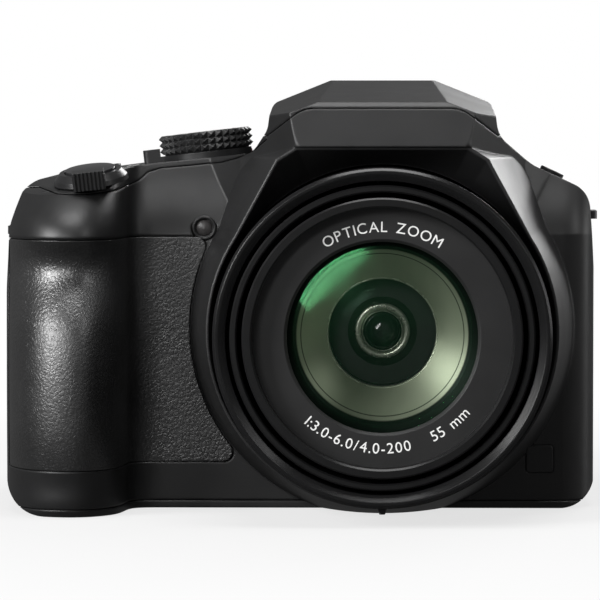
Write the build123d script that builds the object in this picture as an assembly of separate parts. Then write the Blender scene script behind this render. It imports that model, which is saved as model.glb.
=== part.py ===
from build123d import *
import math
import os

# Bridge camera in millimetres. X runs right in the front view, Y to the rear and Z up.
# The origin is the mouth of the tripod socket, under the lens axis.

# Whole camera
BODY_WIDTH = 130.0
BODY_HEIGHT = 94.3
BODY_THICKNESS = 60.0
AXIS_TO_SIDE = 46.8
AXIS_HEIGHT = 40.0
REAR_REACH = 34.0
LENS_REACH = 73.0
GRIP_WIDTH = 33.0
GRIP_DEPTH = 31.0
GRIP_TAPER = 2.0
EDGE_RADIUS = 7.0
HUMP_HALF = 25.0

# Common walls and gaps
WALL = 2.0
SEAM_GAP = 0.2
MOVING_GAP = 0.3
FIT_GAP = 0.05
OVERRUN = 30.0

# Covers
BASE_THICKNESS = 1.6
REAR_SHELL_DEPTH = 14.0
TOP_SEAM_DROP = 24.3
TOP_SHELL_FRONT = -2.0
CAVITY_DROP = 21.9
SHOULDER_INSET = 3.0
TOP_HOLLOW_FROM_SIDE = 17.2
TOP_HOLLOW_RIGHT = 5.0
TOP_HOLLOW_FRONT = -12.0
HUMP_ROOF = 2.8

# Lens cowl on the front cover
COWL_REACH = 24.0
COWL_RADIUS = 38.0
COWL_ROOT_RADIUS = 42.3
COWL_ROOT_SINK = 1.0
COWL_EDGE = 0.6
COWL_DISH_DEPTH = 8.0
COWL_ANGLE = 33.0
COWL_ROOT_ANGLE = 32.0

# Grip plateau under the shutter button, tilted forward and to the side
PLATEAU_FROM_SIDE = 19.7
PLATEAU_FORWARD = 34.5
PLATEAU_DROP = 22.3
PLATEAU_ROLL = 0.105
PLATEAU_PITCH = 0.185
PLATEAU_HALF = 5.5
PLATEAU_RAMP = 6.5

# Rubber skin on the grip
RUBBER_THICKNESS = 1.2
RUBBER_BOTTOM = 10.3
RUBBER_TOP = 59.8
RUBBER_INSET = 1.8
RUBBER_ARC = 42.6
RUBBER_REACH = 34.0
RUBBER_CORNER = 2.2
RUBBER_REAR = -14.0

# Flash cap, its hinge and its lamp
HINGE_Y = -3.9
HINGE_DROP = 4.3
HINGE_HALF = 17.0
HINGE_CHEEK = 6.0
HINGE_PIN_RADIUS = 0.8
HINGE_PIN_OVERHANG = 1.8
CAP_WALL = 1.8
CAP_FRONT_DROP = 4.7
CAP_SLOPE_END = -12.0
FACET_FOOT_DROP = 14.3
LIP_DROP = 6.1
LIP_SETBACK = 3.2
CAP_EDGE_SETBACK = 4.4
SEAM_HALF = 17.0
SEAM_DROP = 6.0
SEAM_SIDE_DROP = 12.0
SEAM_BEND = 7.0
RECESS_HALF = 18.5
RECESS_SETBACK = 5.6
RECESS_REAR = -9.0
RECESS_FLOOR_LIFT = 2.2
HEAD_Y = -38.0
HEAD_DROP = 10.1
HEAD_TILT = 35.0
HEAD_WIDTH = 30.0
HEAD_HEIGHT = 7.0
HEAD_DEPTH = 8.0
HEAD_WALL = 1.2
CHEEK_WALL = 1.2
WINDOW_THICKNESS = 1.0
REFLECTOR_DEPTH = 5.2
REFLECTOR_SKIN = 0.35
TUBE_RADIUS = 0.7

# Hot shoe on the hump
SHOE_SEAT_DROP = 3.5
SHOE_REAR_Y = 24.0
HUMP_TAIL_DROP = 6.8
SHOE_WIDTH = 22.0
SHOE_SLOT_WIDTH = 18.6
SHOE_MOUTH_WIDTH = 12.6
SHOE_SLOT_HEIGHT = 2.05
SHOE_BASE = 0.6
SHOE_LENGTH = 18.0
SHOE_FRONT_GAP = 3.2
CONTACT_RADIUS = 0.8
CENTRE_CONTACT_RADIUS = 1.3
CONTACT_HEIGHT = 0.3
CONTACT_PITCH = 3.6

# Hump cavity and eyepiece
HUMP_CAVITY_HALF = 16.0
HUMP_CAVITY_FRONT = 4.0
EYEPIECE_HEIGHT = 79.0
EYECUP_WIDTH = 31.0
EYECUP_HEIGHT = 17.0
EYECUP_DEPTH = 12.2
EYECUP_CORNER = 7.5
EYECUP_WALL = 2.6
EYECUP_EDGE = 1.2
EYEPIECE_WIDTH = 17.0
EYEPIECE_TALL = 9.6
EYEPIECE_THICKNESS = 3.0
EYEPIECE_CORNER = 3.0
FINDER_WIDTH = 18.0
FINDER_HEIGHT = 12.5
FINDER_LENGTH = 16.0
DIOPTER_X = 19.6
DIOPTER_RADIUS = 3.6
DIOPTER_THICKNESS = 2.6
DIOPTER_TEETH = 24
DIOPTER_STEM_RADIUS = 1.2

# Mode dial and power lever, on one tilted axis
DIAL_X = -39.2
DIAL_Y = -5.0
DIAL_DROP = 17.7
DIAL_TILT = 6.7
DIAL_RADIUS = 10.55
DIAL_HEIGHT = 4.2
DIAL_ROWS = 3
DIAL_COLUMNS = 36
DIAL_GROOVE = 0.75
DIAL_STEM_RADIUS = 3.0
LEVER_RING_RADIUS = 10.0
LEVER_THICKNESS = 1.5
LEVER_KNOB_REACH = 4.3
LEVER_KNOB_WIDTH = 4.4
LEVER_KNOB_HEIGHT = 3.3
LEVER_SWEEP_HALF = 8.0
KNURL_EDGE = 0.5

# Shutter button and zoom lever
SHUTTER_RADIUS = 5.45
SHUTTER_HEIGHT = 3.2
SHUTTER_DOME = 0.5
SHUTTER_STEM_RADIUS = 2.0
SHUTTER_TRAVEL = 0.8
ZOOM_RING_RADIUS = 8.2
ZOOM_RING_TOP_RADIUS = 6.8
ZOOM_RING_HEIGHT = 2.7
ZOOM_TAB_WIDTH = 6.9
ZOOM_TAB_HEIGHT = 4.3
ZOOM_TAB_REACH = 10.6
ZOOM_TAB_DEPTH = 3.6
ZOOM_TAB_RIBS = 8
ZOOM_RIB_DEPTH = 0.35

# Small controls
PLUG_DEPTH = 2.4
BUTTON_TRAVEL = 0.5
BUTTON_PROUD = 0.9
BUTTON_EDGE = 0.3
DRIVE_BUTTON_RADIUS = 3.0
DRIVE_FROM_SIDE = 21.2
DRIVE_Y = 0.0
VIDEO_BUTTON_RADIUS = 3.2
VIDEO_X = -33.0
VIDEO_Y = 16.0
FLASH_BUTTON_RADIUS = 2.8
FLASH_BUTTON_FROM_SIDE = 8.3
FLASH_BUTTON_Y = 12.0
FINDER_BUTTON_RADIUS = 2.6
FINDER_BUTTON_X = 26.5
FINDER_BUTTON_DROP = 18.6
REVIEW_BUTTON_RADIUS = 2.9
REVIEW_BUTTON_LIFT = 21.0
ERASE_BUTTON_RADIUS = 2.6
ERASE_BUTTON_LIFT = 15.5
ERASE_BUTTON_SHIFT = 7.0
PAD_X = -44.5
PAD_HEIGHT = 28.0
PAD_RADIUS = 9.5
PAD_BORE = 4.3
PAD_PROUD = 0.8
SET_BUTTON_RADIUS = 3.9
REAR_DIAL_FROM_SIDE = 17.2
REAR_DIAL_HEIGHT = 64.0
REAR_DIAL_RADIUS = 8.6
REAR_DIAL_THICKNESS = 3.6
REAR_DIAL_PROUD = 1.9
REAR_DIAL_TEETH = 36
THUMB_REST_FROM_SIDE = 14.7
THUMB_REST_HEIGHT = 46.0
THUMB_REST_WIDTH = 20.0
THUMB_REST_TALL = 24.0
THUMB_REST_THICKNESS = 1.4
THUMB_REST_CORNER = 5.0

# Rear screen
SCREEN_WIDTH = 70.0
SCREEN_HEIGHT = 54.0
SCREEN_X = 7.0
SCREEN_Z = 33.0
SCREEN_THICKNESS = 1.2
SCREEN_CORNER = 2.0
PANEL_BORDER = 3.0
PANEL_THICKNESS = 3.5

# Focus assist lamp, badge plate and strap lugs on the outside
LAMP_X = -39.3
LAMP_HEIGHT = 61.8
LAMP_RADIUS = 1.75
LAMP_DOME = 0.6
LAMP_RECESS_RADIUS = 2.9
LAMP_RECESS_DEPTH = 0.9
LAMP_DEPTH = 3.0
BADGE_X = 34.7
BADGE_HEIGHT = 10.9
BADGE_SIZE = 6.0
BADGE_THICKNESS = 0.6
BADGE_PROUD = 0.15
BADGE_CORNER = 0.8
LUG_Y = 6.0
LUG_SIDE_INSET = 0.9
LUG_LENGTH = 11.0
LUG_THICKNESS = 1.8
LUG_REACH = 2.6
LUG_ROOT = 3.5
LUG_BAR = 1.2
LEFT_LUG_HEIGHT = 60.5
RIGHT_LUG_HEIGHT = 64.0

# Terminal door and sockets
PORT_DOOR_FRONT = -8.0
PORT_DOOR_LENGTH = 22.0
PORT_DOOR_BOTTOM = 20.0
PORT_DOOR_HEIGHT = 32.0
PORT_DOOR_THICKNESS = 1.4
PORT_BOARD_X = 41.0
PORT_BOARD_THICKNESS = 1.0
PORT_REACH = 2.6
PORT_WIDTH = 3.4
PORT_HEIGHT = 8.0
PORT_WALL = 0.6

# Battery, card, case and door
BATTERY_FROM_SIDE = 11.4
BATTERY_WIDTH = 12.0
BATTERY_FRONT = -36.4
BATTERY_LENGTH = 30.0
BATTERY_HEIGHT = 42.0
BATTERY_EDGE = 1.0
CARD_THICKNESS = 2.1
CARD_LENGTH = 24.0
CARD_HEIGHT = 32.0
CARD_SPACING = 0.7
CARD_Y = -33.0
CASE_WALL = 0.8
CASE_GAP = 0.25
DOOR_RIM = 0.4
LATCH_LENGTH = 7.0
LATCH_WIDTH = 4.6
LATCH_THICKNESS = 0.8
LATCH_TRAVEL = 2.5
LATCH_Y = -16.0
LATCH_RIBS = 4

# Barrels, from the outermost ring inwards
RING_RADIUS = 35.8
RING_LIP_WIDTH = 2.7
RING_LENGTH = 6.5
RING_SETBACK = 0.4
RING_FRONT_CHAMFER = 1.5
RING_BACK_CHAMFER = 0.6
RING_CHAMFER_DEPTH = 1.2
RING_STEP = 0.2
FIXED_WALL = 1.2
FIXED_REAR = 8.0
FLANGE_LENGTH = 3.0
FLANGE_WIDTH = 1.0
POST_ANGLE = 35.0
POST_CIRCLE = 40.0
POST_RADIUS = 2.5
BORE_GAP = 0.5
CAM_GAP = 0.4
CAM_WALL = 1.3
CAM_FRONT = -40.0
BARREL_GAP = 0.5
BARREL_WALL = 1.5
OUTER_SETBACK = 1.2
OUTER_REAR = -6.0
INNER_GAP = 1.1
INNER_REAR = -14.0
GUIDE_LENGTH = 3.0
BARREL_EDGE = 0.35
FILTER_RADIUS = 27.5
FILTER_DEPTH = 4.6
FILTER_CHAMFER = 0.4
ZOOM_TRAVEL = 34.0

# Zoom gears
GEAR_MODULE = 0.6
RIM_TEETH = 120
PINION_TEETH = 12
GEAR_WIDTH = 3.2
TOOTH_ADDENDUM = 0.48
TOOTH_DEDENDUM = 0.66
PINION_SHAFT_RADIUS = 0.6
PINION_SHAFT_BORE_GAP = 0.05
MOTOR_RADIUS = 5.0
MOTOR_LENGTH = 6.0
MOTOR_SHAFT_DEPTH = 2.6

# Name ring and glass
NAME_RING_OPENING = 20.2
NAME_RING_THICKNESS = 1.2
NAME_RING_BEVEL = 0.6
FRONT_LENS_RADIUS = 21.2
FRONT_LENS_BULGE = 2.8
FRONT_LENS_EDGE = 5.6
FRONT_LENS_HOLLOW = 2.2
FRONT_LENS_RECESS = 1.8
BAFFLE_FLANGE = 3.0
BAFFLE_WALL = 1.0
BAFFLE_SHOULDER = 2.2
BAFFLE_DEPTH = 10.4
BAFFLE_OPENING = 11.6
MIDDLE_LENS_RADIUS = 11.4
MIDDLE_LENS_EDGE = 3.0
MIDDLE_LENS_BULGE = 1.6
MIDDLE_GROUP_BEHIND = 1.8
MIDDLE_TRAVEL = 12.0
CELL_WALL = 1.5
CELL_LENGTH = 9.5
CELL_FLANGE = 2.0
IRIS_RADIUS = 4.2
IRIS_STEP_RADIUS = 6.0
IRIS_THICKNESS = 0.8
FOCUS_LENS_RADIUS = 10.5
FOCUS_LENS_THICKNESS = 4.0
FOCUS_LENS_BULGE = 1.0

# Chassis and boards
CHASSIS_Y = 12.0
CHASSIS_THICKNESS = 1.5
CHASSIS_LEFT = -46.0
CHASSIS_RIGHT = 40.8
CHASSIS_TOP = 64.0
CHASSIS_CORNER = 8.0
SNOUT_LENGTH = 12.0
SNOUT_WALL = 1.5
SENSOR_PACKAGE = 14.0
SENSOR_THICKNESS = 1.5
SENSOR_BOARD_WIDTH = 36.0
SENSOR_BOARD_HEIGHT = 30.0
BOARD_THICKNESS = 1.4
MAIN_BOARD_GAP = 6.5
MAIN_BOARD_BOTTOM = 9.0
MAIN_BOARD_TOP = 62.0
MAIN_BOARD_EDGE = 1.0
CHIP_HEIGHT = 1.6
STANDOFF_RADIUS = 2.0

# Base fasteners
TRIPOD_RADIUS = 3.175
TRIPOD_WALL = 1.8
TRIPOD_DEPTH = 4.0
TRIPOD_FLANGE = 1.5
SCREW_RADIUS = 0.8
SCREW_LENGTH = 6.5
SCREW_HEAD_RADIUS = 1.7
SCREW_HEAD_HEIGHT = 0.9
SCREW_INSET = 6.0
SCREW_LEFT = -46.0
SCREW_RIGHT = 37.0
BOSS_RADIUS = 2.4
BOSS_HEIGHT = 8.0
WEB_HALF = 0.9

# Places worked out from the sizes
REAR_Y = REAR_REACH
FRONT_Y = REAR_Y - BODY_THICKNESS
RIGHT_X = AXIS_TO_SIDE
LEFT_X = RIGHT_X - BODY_WIDTH
COWL_Y = FRONT_Y - COWL_REACH
TOP_SEAM = BODY_HEIGHT - TOP_SEAM_DROP
REAR_SEAM = REAR_Y - REAR_SHELL_DEPTH
HINGE_Z = BODY_HEIGHT - HINGE_DROP
SHOE_SEAT = BODY_HEIGHT - SHOE_SEAT_DROP
LENS_AXIS = Axis((0, 0, AXIS_HEIGHT), (0, 1, 0))

# Outer shape, as shares. Section rows: height, grip depth and lean of the front face.
lower_section_shares = (
    (-0.01, 0.73), (0.065, 0.83), (0.15, 0.92), (0.25, 0.98), (0.36, 0.98),
    (0.45, 0.92), (0.51, 0.81), (0.56, 0.735), (0.60, 0.76), (0.6416, 0.87),
)
upper_section_shares = (
    (0.6416, 0.87, 0.0), (0.69, 0.84, 0.03), (0.74, 0.725, 0.075), (0.81, 0.52, 0.13), (1.02, 0.32, 0.27),
)
grip_x_shares = (0.885, 0.815, 0.74, 0.545, 0.31, 0.115, 0.02)
grip_y_shares = (0.05, 0.32, 0.74, 0.985, 0.935, 0.62, 0.14)
grip_start_share = 1.09
grip_end_share = 0.3
grip_end_pulls = (1, 1)

# Front outline rows: across, up and corner radius, the last two as shares of the height
left_outline_shares = (
    (-0.0025, 0.0, 0.11), (-0.0025, 0.42, 0.3), (0.0146, 0.663, 0.085),
    (0.043, 0.767, 0.053), (0.255, 0.806, 0.106),
)
hump_outline_shares = (
    (-1.144, 0.829, 0.053), (-1.0, 0.8855, 0.053), (-0.968, 0.946, 0.021), (-0.464, 1.0, 0.021),
    (0.464, 1.0, 0.021), (0.968, 0.946, 0.021), (1.008, 0.872, 0.064),
)
right_outline_shares = (
    (-0.106, 0.802, 0.148), (-0.008, 0.74, 0.064), (0.0025, 0.5, 0.212), (0.0025, 0.0, 0.085),
)

# Front edge of the top cover beside the hump: across the body and up it
top_seam_shares = (
    (0.063, 0.753), (0.098, 0.740), (0.145, 0.738), (0.194, 0.7465), (0.225, 0.767), (0.24, 0.786),
    (0.262, 0.795), (0.317, 0.802), (0.366, 0.809), (0.395, 0.820), (0.424, 0.838), (0.447, 0.865),
)
cowl_front_shares = ((0.49, 1.053), (0.60, 0.984))
cowl_root_shares = ((0.567, 0.957), (0.723, 0.889))
cap_facet_shares = ((0.464, 0.2, 1.0), (0.56, 0.932, 0.95), (0.952, 0.4, 0.9427))
hump_plan_shares = ((0.744, 0.0), (1.256, 0.294), (1.6, 0.412))

# Flash cheek along and up from the head; tooth corners; chips on the board; sockets up the door
cheek_shares = ((-0.62, 0.1), (-0.38, 0.62), (1.0, 0.8), (1.0, 0.25), (0.65, -0.08), (-0.16, -0.64))
tooth_shares = (-0.28, -0.11, 0.11, 0.28)
chip_shares = ((0.12, 0.25, 0.16, 0.2), (0.36, 0.2, 0.2, 0.26), (0.64, 0.3, 0.12, 0.14), (0.2, 0.62, 0.22, 0.12))
port_height_shares = (0.3, 0.7)


def block(x0, x1, y0, y1, z0, z1):
    centre = Pos((x0 + x1) / 2, (y0 + y1) / 2, (z0 + z1) / 2)
    return centre * Box(x1 - x0, y1 - y0, z1 - z0)


def front_slab(face, y0, y1):
    """Extrude a front-view face from y0 back to y1."""
    return extrude(Plane.XZ.offset(-y1) * face, amount=y1 - y0)


def side_slab(face, x0, x1):
    return extrude(Plane.YZ.offset(x0) * face, amount=x1 - x0)


def plan_slab(face, z0, z1):
    return extrude(Plane.XY.offset(z0) * face, amount=z1 - z0)


def outline(points, radii=None):
    if radii is None:
        return make_face(Polyline(*points, close=True))
    return make_face(FilletPolyline(*points, radius=radii, close=True))


def turned(*points):
    """Ring about the lens axis, from corners given as (y, radius)."""
    profile = make_face(Polyline(*[(y, AXIS_HEIGHT + radius) for y, radius in points], close=True))
    return revolve(Plane.YZ * profile, LENS_AXIS)


def tube(y0, y1, bore, radius):
    return turned((y0, bore), (y0, radius), (y1, radius), (y1, bore))


def rod(origin, direction, radius, length):
    return Plane(origin=origin, z_dir=direction) * extrude(Circle(radius), amount=length)


def star_face(radius, depth, teeth):
    """Toothed disc whose V grooves meet at sharp crests."""
    points = []
    for step in range(2 * teeth):
        angle = math.pi * step / teeth
        reach = radius if step % 2 == 0 else radius - depth
        points.append((reach * math.cos(angle), reach * math.sin(angle)))
    return outline(points)


def dome_middle(radius, bulge):
    """Middle of the arc of a true dome: its radius and its drop below the crown."""
    sphere = (radius ** 2 + bulge ** 2) / (2 * bulge)
    turn = math.asin(radius / abs(sphere)) / 2
    return abs(sphere) * math.sin(turn), sphere * (1 - math.cos(turn))


def dome_stud(radius, height, bulge):
    """Short round stud on the local Z axis with a domed top."""
    middle, drop = dome_middle(radius, bulge)
    edges = [
        Line((0, 0), (radius, 0)),
        Line((radius, 0), (radius, height)),
        ThreePointArc((radius, height), (middle, height + bulge - drop), (0, height + bulge)),
        Line((0, height + bulge), (0, 0)),
    ]
    return revolve(Plane.XZ * Face(Wire(edges)), Axis.Z)


def lens(front_y, bulge, edge, hollow, radius):
    """Glass with a domed front; hollow is the dish of its back, negative for a domed back."""
    front_edge = front_y + bulge
    rear_edge = front_edge + edge
    rear_y = rear_edge - hollow
    crown = (front_y, AXIS_HEIGHT)
    front_rim = (front_edge, AXIS_HEIGHT + radius)
    rear_rim = (rear_edge, AXIS_HEIGHT + radius)
    dish = (rear_y, AXIS_HEIGHT)
    front_middle, front_drop = dome_middle(radius, bulge)
    rear_middle, rear_drop = dome_middle(radius, hollow)
    front_half = (front_y + front_drop, AXIS_HEIGHT + front_middle)
    rear_half = (rear_y + rear_drop, AXIS_HEIGHT + rear_middle)
    edges = [
        ThreePointArc(crown, front_half, front_rim),
        Line(front_rim, rear_rim),
        ThreePointArc(rear_rim, rear_half, dish),
        Line(dish, crown),
    ]
    return revolve(Plane.YZ * Face(Wire(edges)), LENS_AXIS)


def grip_point(x, y, before, after, inset):
    """Move an outline point inwards, square to the line through its neighbours."""
    along_x = after[0] - before[0]
    along_y = after[1] - before[1]
    length = math.hypot(along_x, along_y)
    return (x + inset * along_y / length, y - inset * along_x / length)


def body_section(height, depth, front_y, inset):
    """Level slice of the body: grip curve, rear corners and flat front beside the lens."""
    left = LEFT_X + inset + GRIP_TAPER
    right = RIGHT_X - inset
    rear = REAR_Y - inset
    front = front_y + inset
    radius = EDGE_RADIUS - inset
    cut = radius * (1 - math.sqrt(0.5))
    raw = [(LEFT_X + grip_start_share * GRIP_WIDTH, front_y)]
    for x_share, y_share in zip(grip_x_shares, grip_y_shares):
        raw.append((LEFT_X + x_share * GRIP_WIDTH, front_y - y_share * depth))
    raw.append((LEFT_X, front_y + grip_end_share * (REAR_Y - front_y)))
    points = [(raw[0][0], front)]
    for before, here, after in zip(raw, raw[1:], raw[2:]):
        points.append(grip_point(here[0], here[1], before, after, inset))
    points.append((LEFT_X + inset, raw[-1][1]))
    edges = [
        Spline(*points, tangents=[(-1, 0), (0, 1)], tangent_scalars=grip_end_pulls),
        Line(points[-1], (left, rear - radius)),
        ThreePointArc((left, rear - radius), (left + cut, rear - cut), (left + radius, rear)),
        Line((left + radius, rear), (right - radius, rear)),
        ThreePointArc((right - radius, rear), (right - cut, rear - cut), (right, rear - radius)),
        Line((right, rear - radius), (right, front + radius)),
        ThreePointArc((right, front + radius), (right - cut, front + cut), (right - radius, front)),
        Line((right - radius, front), points[0]),
    ]
    return Pos(0, 0, height) * Face(Wire(edges))


def lower_block(inset=0.0):
    sections = []
    for height, depth in lower_section_shares:
        sections.append(body_section(height * BODY_HEIGHT, depth * GRIP_DEPTH, FRONT_Y, inset))
    return loft(sections)


def upper_block(inset=0.0):
    sections = []
    for height, depth, lean in upper_section_shares:
        front_y = FRONT_Y + lean * BODY_THICKNESS
        sections.append(body_section(height * BODY_HEIGHT, depth * GRIP_DEPTH, front_y, inset))
    return loft(sections)


def outline_points():
    rows = []
    for across, up, radius in left_outline_shares:
        rows.append((LEFT_X + across * BODY_WIDTH, up * BODY_HEIGHT, radius * BODY_HEIGHT))
    for across, up, radius in hump_outline_shares:
        rows.append((across * HUMP_HALF, up * BODY_HEIGHT, radius * BODY_HEIGHT))
    for across, up, radius in right_outline_shares:
        rows.append((RIGHT_X + across * BODY_WIDTH, up * BODY_HEIGHT, radius * BODY_HEIGHT))
    return rows


def front_outline():
    rows = outline_points()
    return outline([(x, z) for x, z, radius in rows], [radius for x, z, radius in rows])


def shoulder(x):
    """Height and slope of the top outline at x."""
    rows = outline_points()
    for (x0, z0, _), (x1, z1, _) in zip(rows[3:], rows[4:]):
        if x0 <= x <= x1:
            slope = (z1 - z0) / (x1 - x0)
            return z0 + slope * (x - x0), slope
    return BODY_HEIGHT, 0.0


def cowl_corner(shares, radius):
    return [(across * radius, AXIS_HEIGHT + up * radius) for across, up in shares]


def mirrored(point):
    return (-point[0], point[1])


def cowl_face(y, radius, shares, angle):
    """Front view of the cowl: a round belly with a flat brow."""
    brow, corner = cowl_corner(shares, radius)
    turn = math.radians(angle)
    side = (radius * math.cos(turn), AXIS_HEIGHT + radius * math.sin(turn))
    edges = [
        Line(mirrored(brow), brow),
        Line(brow, corner),
        Line(corner, side),
        ThreePointArc(side, (0, AXIS_HEIGHT - radius), mirrored(side)),
        Line(mirrored(side), mirrored(corner)),
        Line(mirrored(corner), mirrored(brow)),
    ]
    return Plane.XZ.offset(-y) * Face(Wire(edges))


def arc_between(radius, start_angle, end_angle):
    points = []
    for angle in (start_angle, (start_angle + end_angle) / 2, end_angle):
        points.append((radius * math.cos(angle), AXIS_HEIGHT + radius * math.sin(angle)))
    return ThreePointArc(*points)


def dish_face(y, radius, front_radius):
    """Circle split at the same corners as the cowl, so that the two can be lofted."""
    brow, corner = cowl_corner(cowl_front_shares, front_radius)
    brow_angle = math.atan2(brow[1] - AXIS_HEIGHT, brow[0])
    corner_angle = math.atan2(corner[1] - AXIS_HEIGHT, corner[0])
    side_angle = math.radians(COWL_ANGLE)
    turns = [math.pi - brow_angle, brow_angle, corner_angle, side_angle]
    turns += [-math.pi - side_angle, -math.pi - corner_angle, -math.pi - brow_angle]
    edges = [arc_between(radius, start, end) for start, end in zip(turns, turns[1:])]
    return Plane.XZ.offset(-y) * Face(Wire(edges))


def fixed_radius():
    return RING_RADIUS - RING_STEP


def bore_radius():
    return fixed_radius() + BORE_GAP


def rim_pitch_radius():
    return GEAR_MODULE * RIM_TEETH / 2


def rim_tip():
    return rim_pitch_radius() + TOOTH_ADDENDUM


def cowl():
    root = cowl_face(FRONT_Y + COWL_ROOT_SINK, COWL_ROOT_RADIUS, cowl_root_shares, COWL_ROOT_ANGLE)
    front = cowl_face(COWL_Y, COWL_RADIUS, cowl_front_shares, COWL_ANGLE)
    return loft([root, front], ruled=True)


def cowl_dish():
    front_radius = COWL_RADIUS - COWL_EDGE
    front = cowl_face(COWL_Y, front_radius, cowl_front_shares, COWL_ANGLE)
    back = dish_face(COWL_Y + COWL_DISH_DEPTH, bore_radius() + SEAM_GAP, front_radius)
    return loft([back, front], ruled=True)


def hump_ridge():
    """Side view of the hump's top, from the foot of its front facet to its tail."""
    facet_y = COWL_Y - COWL_ROOT_SINK
    return [
        (facet_y, BODY_HEIGHT - FACET_FOOT_DROP),
        (facet_y + LIP_SETBACK, BODY_HEIGHT - LIP_DROP),
        (facet_y + CAP_EDGE_SETBACK, BODY_HEIGHT - CAP_FRONT_DROP),
        (CAP_SLOPE_END, BODY_HEIGHT),
        (HINGE_Y + HINGE_DROP, BODY_HEIGHT),
        (HINGE_Y + HINGE_DROP, SHOE_SEAT),
        (SHOE_REAR_Y, SHOE_SEAT),
        (REAR_Y, BODY_HEIGHT - HUMP_TAIL_DROP),
    ]


def side_outline():
    ridge = hump_ridge()
    front = (ridge[0][0] - OVERRUN, ridge[0][1])
    rear = (REAR_Y + OVERRUN, ridge[-1][1])
    return outline([(front[0], -OVERRUN), front] + ridge + [rear, (rear[0], -OVERRUN)])


def hump():
    side = outline(hump_ridge() + [
        (REAR_Y, AXIS_HEIGHT + HUMP_HALF),
        (COWL_Y, AXIS_HEIGHT + HUMP_HALF),
        (COWL_Y, BODY_HEIGHT - FACET_FOOT_DROP),
    ])
    facet_y = COWL_Y - COWL_ROOT_SINK
    length = REAR_Y - facet_y
    corners = [(across * HUMP_HALF, facet_y + back * length) for across, back in hump_plan_shares]
    ring = corners + [(corners[-1][0], REAR_Y)]
    plan = outline(ring + [mirrored(point) for point in reversed(ring)], [EDGE_RADIUS / 3] * (2 * len(ring)))
    return side_slab(side, -2 * HUMP_HALF, 2 * HUMP_HALF) & plan_slab(plan, AXIS_HEIGHT, BODY_HEIGHT + OVERRUN)


def above_plane(corners):
    first, second, third = [Vector(*corner) for corner in corners]
    normal = (second - first).cross(third - first).normalized()
    if normal.Z < 0:
        normal = normal * -1
    reach = 4 * OVERRUN
    return Plane(origin=first, x_dir=second - first, z_dir=normal) * Pos(0, 0, reach / 2) * Box(reach, reach, reach)


def cap_facet(side):
    corners = []
    for across, forward, up in cap_facet_shares:
        corners.append((side * across * HUMP_HALF, forward * COWL_Y, up * BODY_HEIGHT))
    return above_plane(corners)


def plateau_plane():
    height = BODY_HEIGHT - PLATEAU_DROP
    return Plane(
        origin=(LEFT_X + PLATEAU_FROM_SIDE, -PLATEAU_FORWARD, height),
        x_dir=(1, 0, PLATEAU_ROLL),
        z_dir=(-PLATEAU_ROLL, -PLATEAU_PITCH, 1),
    )


def plateau_tool():
    """Everything above the grip's tilted top and the ramp up to the dial."""
    ramp_end = PLATEAU_HALF + PLATEAU_RAMP
    face = outline(
        [(-2 * OVERRUN, 0), (PLATEAU_HALF, 0), (ramp_end, PLATEAU_RAMP), (ramp_end, OVERRUN), (-2 * OVERRUN, OVERRUN)],
        [0, WALL, EDGE_RADIUS / 2, 0, 0],
    )
    return plateau_plane() * extrude(Plane.XZ.offset(-2 * OVERRUN) * face, amount=4 * OVERRUN)


def envelope():
    body = lower_block() + upper_block() + hump() + cowl()
    body = body & front_slab(front_outline(), -3 * OVERRUN, 2 * OVERRUN)
    body = body & side_slab(side_outline(), -BODY_WIDTH, BODY_WIDTH)
    side = HUMP_HALF + SHOULDER_INSET
    crest = block(-side, side, HINGE_Y, HINGE_Y + HINGE_DROP + SEAM_GAP, SHOE_SEAT, BODY_HEIGHT + HINGE_DROP)
    crest = crest - rod((-side, HINGE_Y, HINGE_Z), (1, 0, 0), HINGE_DROP, 2 * side)
    body = body - plateau_tool() - cap_facet(-1) - cap_facet(1) - crest
    return body - cowl_dish()



def cavity():
    """Hollow of the covers: grip and body, the flash recess and the space behind it."""
    floor = BASE_THICKNESS
    side_left = LEFT_X + WALL + GRIP_TAPER / 3
    side_right = RIGHT_X - WALL
    corner = EDGE_RADIUS
    face = outline([
        (side_left + corner - 2 * BASE_THICKNESS, floor),
        (side_right - corner, floor),
        (side_right, floor + corner),
        (side_right, TOP_SEAM - 2 * SHOULDER_INSET),
        (side_right - SHOULDER_INSET - corner, TOP_SEAM),
        (side_left + corner, TOP_SEAM),
        (side_left + SHOULDER_INSET / 2, TOP_SEAM - 2 * SHOULDER_INSET),
        (side_left, floor + corner),
    ])
    hollow = (lower_block(WALL) + upper_block(WALL)) & front_slab(face, -3 * OVERRUN, REAR_Y - WALL)
    top_hollow = block(
        LEFT_X + TOP_HOLLOW_FROM_SIDE, -HUMP_HALF - TOP_HOLLOW_RIGHT,
        TOP_HOLLOW_FRONT, REAR_Y - WALL - SHOULDER_INSET,
        TOP_SEAM - WALL, BODY_HEIGHT - CAVITY_DROP,
    )
    rear_hump = block(
        -HUMP_CAVITY_HALF, HUMP_CAVITY_HALF, HUMP_CAVITY_FRONT, REAR_Y - WALL,
        TOP_SEAM - WALL, SHOE_SEAT - HUMP_ROOF,
    )
    recess = block(
        -RECESS_HALF, RECESS_HALF, COWL_Y - COWL_ROOT_SINK + RECESS_SETBACK, RECESS_REAR,
        AXIS_HEIGHT + bore_radius() + RECESS_FLOOR_LIFT, BODY_HEIGHT + OVERRUN,
    )
    bore = tube(COWL_Y - OVERRUN, TOP_SHELL_FRONT, 0, bore_radius())
    rear_bore = tube(TOP_SHELL_FRONT, CHASSIS_Y + CHASSIS_THICKNESS, 0, rim_tip() + BORE_GAP)
    return [hollow, top_hollow, rear_hump, bore, rear_bore, recess]


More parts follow.
